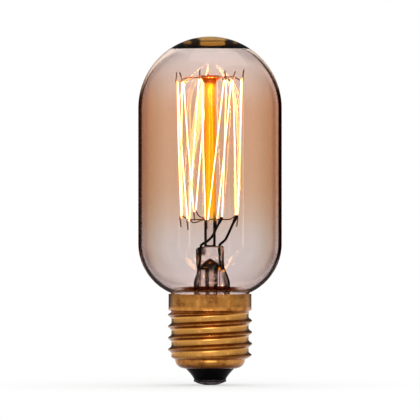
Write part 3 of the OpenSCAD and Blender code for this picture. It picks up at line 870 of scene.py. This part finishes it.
@dataclass
class Stem:
    """The stem: a flared tube that closes the neck, drawn in to a flat press.

    The tube leans a little to the right of the press. The press was pinched soft around the leads,
    so it bulges where they enter and its top is uneven, and the tongs left a short dent in its front.
    """

    foot_low: float = 24.0
    foot_radius: float = 12.0
    tube_radius: float = 5.7
    wall: float = 1.0
    flare_radius: float = 4.2
    flare_height: float = 29.2
    draw_low: float = 31.5
    top: float = 43.48
    half_width: float = 4.4
    half_depth: float = 1.6
    foot_depth: float = 2.85
    shoulder_height: float = 36.4
    shoulder_halves: Pair = (3.5, 1.95)
    apex: float = 39.6
    round_edge: float = 0.8
    lean: float = 0.6
    leaning: tuple[Pair, Pair] = ((25.5, 4.0), (39.0, -5.0))
    narrowing: Pair = (31.5, 5.3)
    flattening: Pair = (31.5, 5.5)
    thinning: Pair = (36.8, 3.6)
    squaring: Pair = (36.2, 4.0)
    squareness: float = 1.6
    hollow_power: float = 2.2
    roof_curves: Pair = (0.9, 2.6)
    columns: int = 224
    top_rise: Pair = (41.5, 2.0)
    bulges: tuple[Patch, ...] = (Patch(-2.6, 42.0, 1.5, 1.5, 0.42), Patch(3.7, 42.8, 0.9, 1.2, 0.2))
    top_lifts: tuple[Patch, ...] = (
        Patch(3.6, 0.0, 1.1, math.inf, 0.28), Patch(-4.4, 0.0, 1.3, math.inf, -0.42),
    )
    dent: tuple[float, float, float, float] = (2.0, 41.1, 1.05, 0.16)
    dent_slope: float = 0.05
    dent_depth: float = 0.3
    # Painted shade on the press: around the left lead, in a band across it, over the roof of the hollow and
    # along its edges, and how dark it gets.
    shade_around_lead: Patch = Patch(-2.9, 42.1, 1.2, 1.2, 0.85, 4)
    press_band_shade: Patch = Patch(0.0, 36.9, math.inf, 1.3, 0.7, 4)
    roof_shade: Pair = (35.8, 0.5)
    press_shade: Pair = (36.4, 0.8)
    left_edge_shade: tuple[Pair, Pair] = ((-2.7, -0.5), (42.0, -1.5))
    right_edge_shade: Pair = (3.3, 0.4)
    top_edge_shade: Pair = (43.03, 0.3)
    edge_shade_levels: tuple[float, float, float] = (0.8, 0.9, 0.8)
    darkest_fold_shade: float = 0.95
    # Painted flecks of amber light on the front of the press: place, half sizes and level.
    painted_glints: tuple[Patch, ...] = (
        Patch(2.95, 36.4, 0.26, 0.4, 1.0), Patch(4.3, 35.8, 0.4, 0.26, 0.9),
        Patch(-0.15, 38.3, 0.22, 0.16, 0.5), Patch(-1.35, 36.9, 0.5, 0.12, 0.3),
    )

    def painted_fold_shade(self, points: Array, outside: bool) -> Array:
        """How much painted brown shade the glass takes: over the roof of the hollow inside, and on the press
        outside along its left, right and top edges, around the left lead and in a band across it.

        Args:
            points: the grid of points.
            outside: whether this is the outer face.

        Returns:
            A share from 0 to 1 at each point.
        """
        x, z = points[..., 0], points[..., 2]
        if not outside:
            return rise(z, *self.roof_shade)
        left, right, top = self.edge_shade_levels
        left = left * rise(x, *self.left_edge_shade[0]) * rise(z, *self.left_edge_shade[1])
        right, top = right * rise(x, *self.right_edge_shade), top * rise(z, *self.top_edge_shade)
        edges = np.clip(self.shade_around_lead.at(x, z) + left + right + top, 0, self.darkest_fold_shade)
        return np.maximum(rise(z, *self.press_shade) * edges, self.press_band_shade.at(x, z))

    def loft(self, rows: Array, outside: bool) -> Array:
        """Carry a superellipse |x/a|^n + |y/b|^n = 1 up the stem.

        The outside adds a bulge around each lead where it enters, the uneven top and the tongs' dent.

        Args:
            rows: for each height, the half width a, half depth b, exponent n and the height.
            outside: whether this is the outer face.

        Returns:
            The grid of points.
        """
        width, depth, power, z = (rows[:, k:k + 1] for k in range(4))
        a = full_turn(self.columns)
        c, s = np.cos(a), np.sin(a)
        x = width * np.sign(c) * np.abs(c) ** (2 / power)
        y = depth * np.sign(s) * np.abs(s) ** (2 / power)
        z = np.broadcast_to(z, x.shape).copy()
        if outside:
            y = y * (1 + sum(bulge.at(x, z) for bulge in self.bulges))
            z += rise(z, *self.top_rise) * sum(lift.at(x, z) for lift in self.top_lifts)
            mid_x, mid_z, half_x, half_z = self.dent
            slant = self.dent_slope * (x - mid_x)
            pinch = np.exp(-((x - mid_x) / half_x) ** 6 - ((z - mid_z - slant) / half_z) ** 2)
            y = y + self.dent_depth * pinch * (y < 0)
        out_of_foot, into_press = self.leaning
        x = x + self.lean * rise(z, *out_of_foot) * rise(z, *into_press)
        return np.stack([x, y, z], axis=-1)

    def foot(self, bend: float, low: float) -> Array:
        """Rows of the round part: the rim of the foot and the flare's quarter circle.

        Args:
            bend: radius of the quarter circle.
            low: height of the rim.

        Returns:
            The rows from the rim up to the tube.
        """
        flare = arc((self.tube_radius + self.flare_radius, self.flare_height), bend, 270, 180, 16)
        radius, z = np.vstack([[[self.foot_radius, low]], flare]).T
        return np.column_stack([radius, radius, np.full(len(z), 2.0), z])

    def outer_rows(self) -> Array:
        """Rows of the outer face, from the foot to the top of the press.

        Returns:
            Half width, half depth, exponent and height of each row.
        """
        shoulder = self.top - self.round_edge
        z = np.concatenate([
            np.linspace(self.draw_low, shoulder, 100)[:-1],
            shoulder + self.round_edge * np.sin(np.linspace(0, np.pi / 2, 12)),
        ])
        width = self.tube_radius + (self.half_width - self.tube_radius) * rise(z, *self.narrowing)
        depth = self.tube_radius + (self.foot_depth - self.tube_radius) * rise(z, *self.flattening)
        depth = depth + (self.half_depth - self.foot_depth) * rise(z, *self.thinning)
        power = 2 + self.squareness * rise(z, *self.squaring)
        over = np.clip((z - shoulder) / self.round_edge, 0, 1)
        drawn_in = self.round_edge * (1 - np.sqrt(1 - over ** 2))
        press = np.column_stack([width - drawn_in, depth - drawn_in, power, z])
        inward = [press[-1] * [share, share, 1, 1] for share in (0.75, 0.5, 0.25, TINY)]
        return np.vstack([self.foot(self.flare_radius, self.foot_low + self.wall), press, inward])

    def inner_rows(self) -> Array:
        """Rows of the hollow, from the foot to the ridge of its roof.

        Returns:
            Half width, half depth, exponent and height of each row.
        """
        start, power = self.tube_radius - self.wall, self.hollow_power
        low = (start, start, power, self.draw_low)
        shoulder = (*self.shoulder_halves, power, self.shoulder_height)
        share = np.linspace(0, 1, 22)
        eased = rise(share, 0, 1)
        neck = blend(low, shoulder, eased, eased, 0, share)
        share = np.linspace(0, 1, 26)[1:]
        low, ridge = (*self.shoulder_halves, 2.0, self.shoulder_height), (TINY, TINY, 2.0, self.apex)
        across, deep = self.roof_curves
        roof = blend(low, ridge, 1 - (1 - share) ** across, share ** deep, 0, share)
        return np.vstack([self.foot(self.flare_radius + self.wall, self.foot_low), neck, roof])

    def build(self) -> None:
        """Make the stem as one closed surface and dress it, with painted shade where it was folded and
        painted flecks of light on the front of the press.
        """
        inner = self.loft(self.inner_rows(), False)[::-1]
        outer = self.loft(self.outer_rows(), True)
        painted_fold_shade = np.vstack([self.painted_fold_shade(inner, False), self.painted_fold_shade(outer, True)])
        x, y, z = np.moveaxis(outer, -1, 0)
        # Painted flecks of amber light, on the front of the press only.
        painted_glint_front = np.where(y < 0, sum(glint.at(x, z) for glint in self.painted_glints), 0)
        painted_glints = np.vstack([np.zeros(inner.shape[:2]), painted_glint_front])
        points = np.vstack([inner, outer])
        Finishes.STEM_GLASS.dress("stem_pressed", points, "stem_flare", fold=painted_fold_shade, glint=painted_glints)


@dataclass
class ExhaustTube:
    """The thin tube inside the stem, sealed in a round tip."""

    radius: float = 1.85
    bore: float = 0.95
    bore_foot: float = 3.7
    aside: float = 0.45
    low: float = 14.55
    high: float = 37.55
    columns: int = 64

    def build(self) -> None:
        """Round tip, straight outside, open top and the bore with its own round end."""
        outline = np.vstack([
            arc((0, self.low + self.radius), self.radius, 270, 360, 14),
            [[self.radius, self.high], [self.bore, self.high]],
            arc((0, self.low + self.bore_foot), self.bore, 0, -90, 10),
        ])
        outline[[0, -1], 0] = 0
        points = lathe(outline, self.columns, 2.0) + [self.aside, 0, 0]
        Finishes.TUBE_GLASS.dress("exhaust_tube_sealed", points, "exhaust_tube")


@dataclass
class SupportRod:
    """The glass rod with the flame-rounded button that holds the upper hooks."""

    radius: float = 1.8
    low: float = 43.52
    foot_edge: float = 0.5
    button_radius: float = 3.2
    button_thick: float = 1.2
    funnel: float = 1.6
    funnel_curve: float = 1.7
    top: float = 97.1
    hollow: Outline = ((0.6, 0.05), (0.0, 0.12))
    columns: int = 72

    def build(self) -> None:
        """A straight rod that widens smoothly into the round edge of the button."""
        edge = self.button_thick / 2
        flat = self.button_radius - edge
        base = self.top - self.button_thick
        share = np.linspace(0, 1, 14)
        funnel = blend((self.radius, base - self.funnel), (flat, base), share ** self.funnel_curve, share)
        outline = np.vstack([
            [[0, self.low]],
            arc((self.radius + self.foot_edge, self.low + self.foot_edge), self.foot_edge, 270, 180, 6),
            funnel,
            arc((flat, self.top - edge), edge, -90, 90, 14)[1:],
            [[flat * part, self.top - depth] for part, depth in self.hollow],
        ])
        points = lathe(outline, self.columns, 1.5)
        Finishes.ROD_GLASS.dress("rod_with_button", points, "support_rod")


# Hooks, leads and filament


@dataclass(frozen=True)
class Crown:
    """One crown of hooks, with turns in degrees from the front and sizes as in the CAD.

    A hook runs out level from its foot, steps to the seat that carries the filament, bows around it
    and ends in a free prong. Each hook strays a little from the others: it lifts, leans and sags.
    """

    name: str
    way: int
    radius: float
    height: float
    step: float
    prong: float
    foot: float
    hub: float
    before: float
    gains: Pair
    turns: Array
    lifts: tuple[float, ...]
    leans: tuple[float, ...]
    sags: tuple[float, ...]
    wire: float = 0.4
    play: float = 0.05
    slope: float = 1.3
    bow: float = 0.15
    bow_h: float = 0.7

    @property
    def seat(self) -> float:
        """Radius of the filament's bend around a hook: the thread is as thick as the wire."""
        return self.wire + self.play

    def path(self, index: int) -> Array:
        """Corners of a hook's path, each from a distance to the axis, a height and a share of the lift.

        Args:
            index: number of the hook.

        Returns:
            The corners from the foot to the prong.
        """
        seat, r, step, sag = self.seat, self.radius, self.step, self.sags[index]
        tip, bow_h = r + seat - self.play, self.way * self.bow_h
        rows = np.array([
            [self.foot, 0, 0],
            [self.hub + self.slope / 2, 0, 0],
            [r - self.before, -sag, self.gains[0]],
            [r - self.slope, (step - sag) / 2, self.gains[1]],
            [r - seat, step, 1],
            [tip, step, 1],
            [r + seat + self.bow, step + bow_h, 1],
            [tip, step + 2 * bow_h, 1],
            [tip + self.leans[index], self.way * self.prong, 1],
        ])
        out, up, share = rows.T
        return around(self.turns[index], out, self.height + up + self.lifts[index] * share)

    def build(self) -> None:
        """Make and dress the hooks of drawn wire with cut ends."""
        for i, turn in enumerate(self.turns):
            node = f"{self.name}_hook_{i + 1}"
            points = wire(refine(self.path(i)), self.wire / 2, around(turn + 90, 1.0, 0.0), 10)
            Finishes.HOOK_WIRE.dress(node + "_wire", points, node)


def crowns() -> tuple[Crown, Crown]:
    """The upper crown, and the lower one with each hook between two upper ones.

    Returns:
        The two crowns.
    """
    turns = 27.0 - 360 / 7 * np.arange(7) + [0, 7, -8, 4, 2, 7, -4]
    upper = Crown(
        name="upper", way=1, radius=10.2, height=96.5, step=-1.6, prong=1.8, foot=2.0, hub=3.2, before=2.6,
        gains=(0.3, 0.7), turns=turns, lifts=(0, 0.4, -0.3, -0.1, 0.1, 0.2, 0.5),
        leans=(-0.5, 0, -0.1, 0.9, 0, 1.2, 0.4), sags=(0,) * 7,
    )
    lower = Crown(
        name="lower", way=-1, radius=9.1, height=52.0, step=0.9, prong=2.4, foot=1.0, hub=1.8, before=2.3,
        gains=(0.4, 0.8), turns=(turns[:-1] + turns[1:]) / 2 + [-11, 3, 2, 2, 8, 9],
        lifts=(-0.5, -0.8, 0, 2, -0.6, 0.1), leans=(-0.25,) * 6, sags=(0, 0.9, 0.2, -0.1, 0.1, 0.2),
    )
    return upper, lower


@dataclass(frozen=True)
class Lead:
    """A thick lead from the press to an end of the filament; its heights start at the press."""

    side: str
    corners: tuple[Place, ...]
    base: float = 43.5
    thick: float = 0.8
    clamp: float = 1.05
    clamped: Pair = (2.4, -0.5)
    cut_end: Pair = (0.5, -0.5)
    gap: float = 0.1

    @property
    def path(self) -> Array:
        """Its corners in place."""
        return np.array(self.corners) + [0, 0, self.base]

    def tip(self) -> Array:
        """Where the filament starts, just beyond the lead's end."""
        return self.path[-1] + (self.gap + self.thick / 2) * unit(self.path[-1] - self.path[-2])

    def build(self) -> None:
        """Make and dress the lead, thickened where its end is folded around the filament."""
        path = refine(self.path)
        to_end = np.linalg.norm(path - path[-1], axis=1)
        swell = rise(to_end, *self.clamped) * (1 - 0.25 * rise(to_end, *self.cut_end))
        radius = self.thick / 2 + (self.clamp - self.thick) / 2 * swell
        node = f"inner_lead_{self.side}"
        Finishes.NICKEL.dress(node + "_wire", wire(path, radius, np.array([0, 1, 0.3]), 16), node)


LEADS = (
    Lead("left", (
        (-2.9, 0, -2.8), (-2.9, 0, 0.3), (-2.5, -0.9, 0.6), (-1.8, -2.1, 1.1), (-0.6, -2.8, 1.8),
        (0.8, -3.8, 3.2), (1.6, -4.8, 5), (3.6, -7.7, 9),
    )),
    Lead("right", (
        (2.9, 0, -2.8), (2.9, 0, 0.3), (3.3, -0.3, 0.8), (4.2, -0.9, 1.5), (5.1, -1.4, 2.4),
        (7, -2.6, 6.8), (8.4, -3.3, 9.7),
    )),
)


@dataclass
class Filament:
    """The unbroken thread: over each upper hook and under each lower hook in turn."""

    upper: Crown
    lower: Crown
    thick: float = 0.4
    bow: float = 0.2
    shortest_strand: float = 5.0

    def bend(self, crown: Crown, index: int) -> Array:
        """Half a turn around a hook's wire: p + b (cos a s + sin a z), for a from 0 to 180 degrees.

        Args:
            crown: the crown, whose way says whether z points up or down.
            index: number of the hook.

        Returns:
            Points with the hook's turn in a fourth column.
        """
        a, turn = np.linspace(0, np.pi, 9)[:, None], crown.turns[index]
        middle = around(turn, crown.radius, crown.height + crown.step + crown.lifts[index])
        side, up = around(turn + 90, 1.0, 0.0), np.array([0, 0, crown.way])
        points = middle + crown.seat * (np.cos(a) * side + np.sin(a) * up)
        return np.column_stack([points, np.full(len(points), turn)])

    def route(self) -> Array:
        """Points of the whole thread, each with its turn about the axis, from lead to lead.

        Returns:
            The points, with their turns in degrees in a fourth column.
        """
        ends = [lead.tip() for lead in LEADS]
        start, stop = (np.append(e, math.degrees(math.atan2(e[0], -e[1]))) for e in ends)
        stop[3] -= 360
        count = len(self.lower.turns)
        bends = [self.bend(crown, i) for i in range(count) for crown in (self.upper, self.lower)]
        return np.vstack([start, *bends, self.bend(self.upper, count), stop])

    def build(self) -> None:
        """Carry a round thread along the route, each long strand bowed out by 4 s (1 - s) bow."""
        corners = self.route()
        points = resample(corners, 1.5)
        spans = np.diff(corners[:, :3], axis=0)
        offset = np.zeros((len(points), 1))
        for run in np.flatnonzero(np.linalg.norm(spans, axis=1) > self.shortest_strand):
            off_line = np.cross(points[:, :3] - corners[run, :3], unit(spans[run]))
            share = ((points[:, 2] - corners[run, 2]) / spans[run, 2])[:, None]
            on_run = np.linalg.norm(off_line, axis=1, keepdims=True) < 1e-6
            bowed = 4 * share * (1 - share) * self.bow
            offset = np.where(on_run & (share > 0) & (share < 1), bowed, offset)
        outward = around(points[:, 3], 1.0, 0.0)
        thread = wire(points[:, :3] + offset * outward, self.thick / 2, outward, 10)
        Finishes.CARBON.dress("filament_thread", thread, "filament").visible_diffuse = False


# The cap


@dataclass
class ScrewShell:
    """The brass shell, rolled from one sheet: skirt, right-hand thread and plain collar."""

    lip_z: float = 5.2
    skirt_h: float = 2.7
    lip_r: float = 7.7
    skirt_r: float = 10.95
    thread_h: float = 15.7
    root_r: float = 12.1
    crest_r: float = 13.2
    pitch: float = 3.629
    front: float = 1.4
    collar_r: float = 13.0
    collar_h: float = 5.0
    rim_edge: float = 0.12
    wall: float = 0.4
    sharpness: float = 2.6
    from_skirt: float = 0.9
    to_collar: float = 0.6
    run_in: Pair = (0.2, 1.6)
    run_out: Pair = (-0.2, -1.2)
    # Painted shade: the skirt is painted darker towards its lip.
    lip_shade_level: float = 0.3
    lip_shade_reach: Pair = (1.9, -1.3)
    columns: int = 192

    def rows(self, inset: float, thread_rows: int) -> Array:
        """Rows of one face: height, radius without the thread, and share of the thread's depth.

        Args:
            inset: distance inside the outer face.
            thread_rows: number of rows along the thread.

        Returns:
            The rows from the lip of the skirt to the rim of the collar.
        """
        a = np.radians(np.linspace(0, 90, 15)[:-1])
        low = self.lip_z + self.skirt_h
        high = low + self.thread_h
        lip, foot = (self.lip_z + inset, self.lip_r, 0), (low, self.skirt_r - inset, 0)
        skirt = blend(lip, foot, 1 - np.cos(a), np.sin(a), 0)
        z = np.linspace(low, high, thread_rows)
        near_skirt = rise(z - low, self.from_skirt, -self.from_skirt)
        near_collar = rise(z - high, -self.to_collar, self.to_collar)
        radius = self.root_r - inset + (self.skirt_r - self.root_r) * near_skirt
        radius = radius + (self.collar_r - self.root_r) * near_collar
        depth = rise(z - low, *self.run_in) * rise(z - high, *self.run_out)
        rim, edge = high + self.collar_h, 0.0 if inset else self.rim_edge
        face = self.collar_r - inset
        collar = [[high + share * (self.collar_h - edge), face, 0] for share in (0.25, 0.5, 0.75, 1.0)]
        top = [[rim - self.rim_edge / 3, face - edge / 3, 0], [rim, face - edge, 0]]
        return np.vstack([skirt, np.column_stack([z, radius, depth]), collar, top])

    def surface(self, rows: Array) -> tuple[Array, Array, Array]:
        """Turn rows into points, with the thread's wave ((1 + cos t) / 2)^k added to the radius.

        Args:
            rows: height, radius and share of the thread's depth.

        Returns:
            The grid of points, how much painted shade each takes, most on the thread's flanks and at
            the lip, and how deep it lies in the groove.
        """
        a = full_turn(self.columns)
        z, radius, depth = (rows[:, k:k + 1] for k in range(3))
        front = self.lip_z + self.skirt_h + self.front
        wave = ((1 + np.cos(2 * np.pi * (z - front) / self.pitch - a)) / 2) ** self.sharpness
        r = radius + depth * (self.crest_r - self.root_r) * wave
        points = np.stack([r * np.cos(a), r * np.sin(a), np.broadcast_to(z, r.shape)], axis=-1)
        # Painted shade towards the lip of the skirt.
        lip = self.lip_shade_level * rise(z - self.lip_z, *self.lip_shade_reach)
        return points, np.maximum(depth * wave, lip), depth * (1 - wave)

    def build(self) -> None:
        """Make the outer and inner faces as one closed surface, with the painted shade and groove attributes.
        """
        outer, inner = self.surface(self.rows(0.0, 230)), self.surface(self.rows(self.wall, 80))
        points, crest, groove = (
            np.vstack([shown, hidden[::-1], shown[:1]]) for shown, hidden in zip(outer, inner)
        )
        Finishes.BRASS.dress("screw_shell_rolled", points, "screw_shell", crest=crest, groove=groove)


@dataclass
class CapFill:
    """What fills the ends of the shell: the cement ring, the black glass, the contact and the solder."""

    columns: int = 128
    ring: Outline = (
        (12.06, 25.1), (12.5, 25.1), (12.52, 27.0), (12.5, 28.35), (12.38, 28.48), (12.2, 28.42),
        (12.06, 27.9), (12.06, 25.1),
    )
    lumpy_top: Pair = (27.5, 1.0)
    lump: float = 0.06
    nose: Outline = ((5.12, 2.05), (7.56, 5.1))
    nose_curve: float = 1.25
    body: Outline = ((7.58, 5.72), (10.4, 7.9))
    body_low: Outline = ((1.3, 1.86), (4.9, 1.86))
    body_ledge: Pair = (7.58, 5.3)
    body_high: Outline = ((10.4, 8.4), (9.9, 8.9), (1.3, 8.9), (1.3, 1.86))
    disc: Outline = (
        (0.7, 0.97), (4.6, 0.97), (4.95, 1.02), (5.1, 1.2), (5.1, 1.6), (5.02, 1.84), (4.7, 1.85),
        (1.2, 1.85), (1.2, 9.3), (0.7, 9.3), (0.7, 0.97),
    )
    drop_r: float = 4.6
    drop_h: float = 0.95
    drop_curve: float = 2.2
    drop_flat: float = 0.35
    drop_lump: float = 0.18
    plug: Outline = ((4.55, 0.955), (0.65, 0.955), (0.65, 2.65), (0.0, 2.65))
    joint_r: float = 0.9
    joint_y: float = 13.05
    joint_z: float = 27.9

    def cement(self) -> None:
        """A ring of cement between the neck and the collar, with a lumpy top."""
        points = lathe(np.array(self.ring), self.columns, 0.5)
        a = full_turn(self.columns)
        lumps = self.lump * (1 + np.sin(9 * a) * np.sin(4 * a + 1))
        points[..., 2] -= rise(points[..., 2], *self.lumpy_top) * lumps
        Finishes.CEMENT.dress("cement_ring", points, "cap_cement")

    def insulator(self) -> None:
        """Black glass: hollow-sided nose r0 + dr s^k, and the hidden body that follows the skirt."""
        share = np.linspace(0, 1, 16)
        nose = blend(*self.nose, share ** self.nose_curve, share)
        a = np.radians(np.linspace(0, 90, 12))
        body = blend(*self.body, np.sin(a), 1 - np.cos(a))
        outline = np.vstack([self.body_low, nose, self.body_ledge, body, self.body_high])
        Finishes.BLACK_GLASS.dress("insulator_pressed", lathe(outline, self.columns, 0.8), "cap_insulator")

    def contact(self) -> None:
        """The disc with its rolled edge and eyelet, and the uneven solder on it."""
        points = lathe(np.array(self.disc), self.columns, 0.6)
        Finishes.CONTACT.dress("contact_disc_stamped", points, "contact_disc")
        share = np.linspace(0, 1, 20)
        up = share ** self.drop_curve * (self.drop_flat + (1 - self.drop_flat) * share)
        face = blend((0, 0), (self.drop_r, self.drop_h), share, up)
        points = lathe(np.vstack([face, self.plug]), self.columns, 0.4)
        x, y, z = np.moveaxis(points, -1, 0)
        lumps = np.sin(1.9 * x + 0.8) * np.sin(1.6 * y + 2.1) + 0.5 * np.sin(3.7 * x - y)
        edge = np.hypot(x, y) / self.drop_r
        raised = self.drop_lump * np.clip(lumps + 0.6, 0, 2) * edge * (1 - edge)
        points[..., 2] += np.where(z < self.drop_h, raised, 0)
        Finishes.SOLDER.dress("contact_solder_drop", points, "contact_solder")

    def side_joint(self) -> None:
        """The drop of solder on the collar's back, where the side lead ends."""
        a = np.linspace(0, np.pi / 2, 12)
        outline = self.joint_r * np.column_stack([np.cos(a), np.sin(a) ** 0.85])
        outline[-1, 0] = 0
        x, y, z = np.moveaxis(lathe(np.vstack([[[0, 0]], outline]), 36, 0.15), -1, 0)
        wobble = 1 + 0.05 * np.sin(5 * np.arctan2(y, x) + 4 * z)
        points = np.stack([x * wobble, self.joint_y + z, self.joint_z - y * wobble], axis=-1)
        Finishes.SOLDER.dress("side_solder_drop", points, "side_solder")

    def build(self) -> None:
        """Make and dress the fill of the cap, and give the hidden wires their finishes."""
        for part in (self.cement, self.insulator, self.contact, self.side_joint):
            part()
        Finishes.SEAL.recoat("seal_wire_left", "seal_wire_right")
        Finishes.COPPER.recoat("centre_lead", "side_lead")


# The studio


@dataclass
class Studio:
    """A pale floor, a white surround, soft lamps, and a long lens level with the lamp. In metres."""

    aim_z: float = 0.0549
    frame_width: float = 0.1317
    distance: float = 2.5
    elevation: float = 0.3
    floor_radius: float = 0.35
    floor_rings: tuple[float, ...] = (0.0, 0.05, 0.2, 0.8, 1.0)
    ambient: float = 0.75
    gloss_around: Stops = (
        (0.0, 0.04), (0.08, 0.04), (0.15, 0.25), (0.23, 0.26), (0.34, 0.28), (0.42, 0.3), (0.5, 0.2),
        (0.57, 0.3), (0.66, 0.28), (0.78, 0.24), (0.86, 0.3), (0.93, 0.04), (1.0, 0.04),
    )
    gloss_scale: float = 2.0
    soft_box: Place = (0.12, -0.87, 0.48)
    soft_box_level: float = 0.5
    soft_box_reach: Pair = (0.82, 1.0)
    panel_centre: float = -0.07
    panel_reach: Pair = (0.25, 0.6)
    panel_level: float = 1.6
    panel: Stops = ((0.27, 1.0), (0.36, 0.03), (0.54, 0.03), (0.64, 0.6))
    lamps: tuple[tuple[str, Place, Pair, float, bool], ...] = (
        ("soft_front", (0.15, -1.4, 0.55), (0.8, 0.8), 4.5, False),
        ("soft_top", (0.2, 0.3, 1.5), (1.4, 1.4), 9.0, False),
        ("strip_left", (-0.71, -1.09, 0.3), (0.05, 1.0), 0.35, True),
        ("strip_right", (1.06, -0.75, 0.3), (0.05, 1.0), 0.35, True),
    )

    def backdrop(self, add: Add, x: Socket, y: Socket) -> Socket:
        """How bright the surround is to light that was mirrored inside a glass wall on its way out.

        It is a white panel behind the lamp, dark for a stretch beside the panel, pale again at the
        far sides and dim on the camera's side.

        Args:
            add: adds a node.
            x: the direction's part to the right.
            y: the direction's part to the back.

        Returns:
            The brightness.
        """
        aside = add("Math", x, self.panel_centre, operation="SUBTRACT")
        aside = add("Math", aside, operation="ABSOLUTE")
        panel = add("ValToRGB", aside, stops=self.panel)
        ends = (*self.panel_reach, DIM, self.panel_level)
        behind = add("MapRange", y, *ends, interpolation_type="SMOOTHSTEP")
        return add("Math", behind, panel, operation="MULTIPLY")

    def surround(self) -> None:
        """White behind the lamp, a plain level for what it lights, and what gloss and glass mirror.

        Satin metal mirrors a pale room with a soft box in front. Smooth glass mirrors a dim one, as
        the room on the camera's side was dim, so the wires inside stay dark.
        """
        world = bpy.data.worlds.new("studio_surround")
        bpy.context.scene.world = world
        world.use_nodes = True
        world.node_tree.nodes.clear()
        add = partial(add_node, world.node_tree)
        way = add("TexCoord", out="Generated")
        x, y = (add("SeparateXYZ", way, out=axis) for axis in "XY")
        toward = add("VectorMath", way, self.soft_box, out="Value", operation="DOT_PRODUCT")
        ends = (*self.soft_box_reach, 0.0, self.soft_box_level)
        box = add("MapRange", toward, *ends, interpolation_type="SMOOTHSTEP")
        back = add("Math", y, -1.0, operation="MULTIPLY")
        turn = add("Math", x, back, operation="ARCTAN2")
        turn = add("MapRange", turn, -math.pi, math.pi)
        level = add("ValToRGB", turn, stops=self.gloss_around)
        gloss = add("Math", level, self.gloss_scale, box, operation="MULTIPLY_ADD")
        mixed = add("Background", WHITE, self.ambient)
        for ray, level in (("Glossy", gloss), ("Singular", DIM), ("Transmission", self.backdrop(add, x, y))):
            light = add("Background", WHITE, level)
            mixed = add("MixShader", add("LightPath", out=f"Is {ray} Ray"), mixed, light)
        mixed = add("MixShader", seen_directly(add), mixed, add("Background", WHITE, 1.0))
        add("OutputWorld", {"Surface": mixed})

    def floor(self) -> None:
        """A pale round floor that reads as white and keeps the lamp's shadow."""
        rings = np.array(self.floor_rings) * self.floor_radius / MM
        floor = grid_object("studio_floor", lathe(np.column_stack([rings, 0 * rings]), 96), {})
        floor.data.materials.append(WhitePaper("matte_white_paper").material())

    def lamp(self, name: str, place: Place, size: Pair, watts: float, mirrored: bool) -> None:
        """A soft rectangular lamp that faces the middle of the object.

        Args:
            name: name of the lamp.
            place: its place in metres.
            size: its width and height in metres.
            watts: its power.
            mirrored: whether gloss and glass mirror it.
        """
        data = bpy.data.lights.new(name, "AREA")
        data.shape = "RECTANGLE"
        data.size, data.size_y = size
        data.energy = watts
        lamp = bpy.data.objects.new(name, data)
        lamp.location = place
        lamp.rotation_euler = (Vector((0, 0, self.aim_z)) - lamp.location).to_track_quat("-Z", "Y").to_euler()
        lamp.visible_camera = False
        lamp.visible_glossy = mirrored
        bpy.context.scene.collection.objects.link(lamp)

    def camera(self) -> None:
        """A long lens in front, a little above the middle of the lamp."""
        data = bpy.data.cameras.new("camera")
        data.sensor_width = 36.0
        data.lens = data.sensor_width * self.distance / self.frame_width
        data.clip_end = 50.0
        camera = bpy.data.objects.new("camera", data)
        tilt = math.radians(self.elevation)
        camera.location = (0, -self.distance * math.cos(tilt), self.aim_z + self.distance * math.sin(tilt))
        camera.rotation_euler = (math.pi / 2 - tilt, 0, 0)
        bpy.context.scene.collection.objects.link(camera)
        bpy.context.scene.camera = camera

    def build(self) -> None:
        """Make the studio and set how light is followed."""
        self.camera()
        self.surround()
        self.floor()
        for lamp in self.lamps:
            self.lamp(*lamp)
        scene = bpy.context.scene
        scene.view_settings.view_transform = "Standard"
        for key, value in {
            "max_bounces": 20, "transmission_bounces": 20, "glossy_bounces": 8, "diffuse_bounces": 3,
            "transparent_max_bounces": 20, "caustics_reflective": False, "caustics_refractive": False,
            "sample_clamp_indirect": 320.0, "use_denoising": True,
        }.items():
            setattr(scene.cycles, key, value)


def main() -> None:
    """Build the studio and the lamp, piece by piece."""
    logging.basicConfig(level=logging.INFO, format="%(name)s: %(message)s")
    upper, lower = crowns()
    for part in (
        Studio(), Envelope(), Stem(), ExhaustTube(), SupportRod(), upper, lower, *LEADS,
        Filament(upper, lower), ScrewShell(), CapFill(),
    ):
        part.build()


if __name__ == "__main__":
    main()
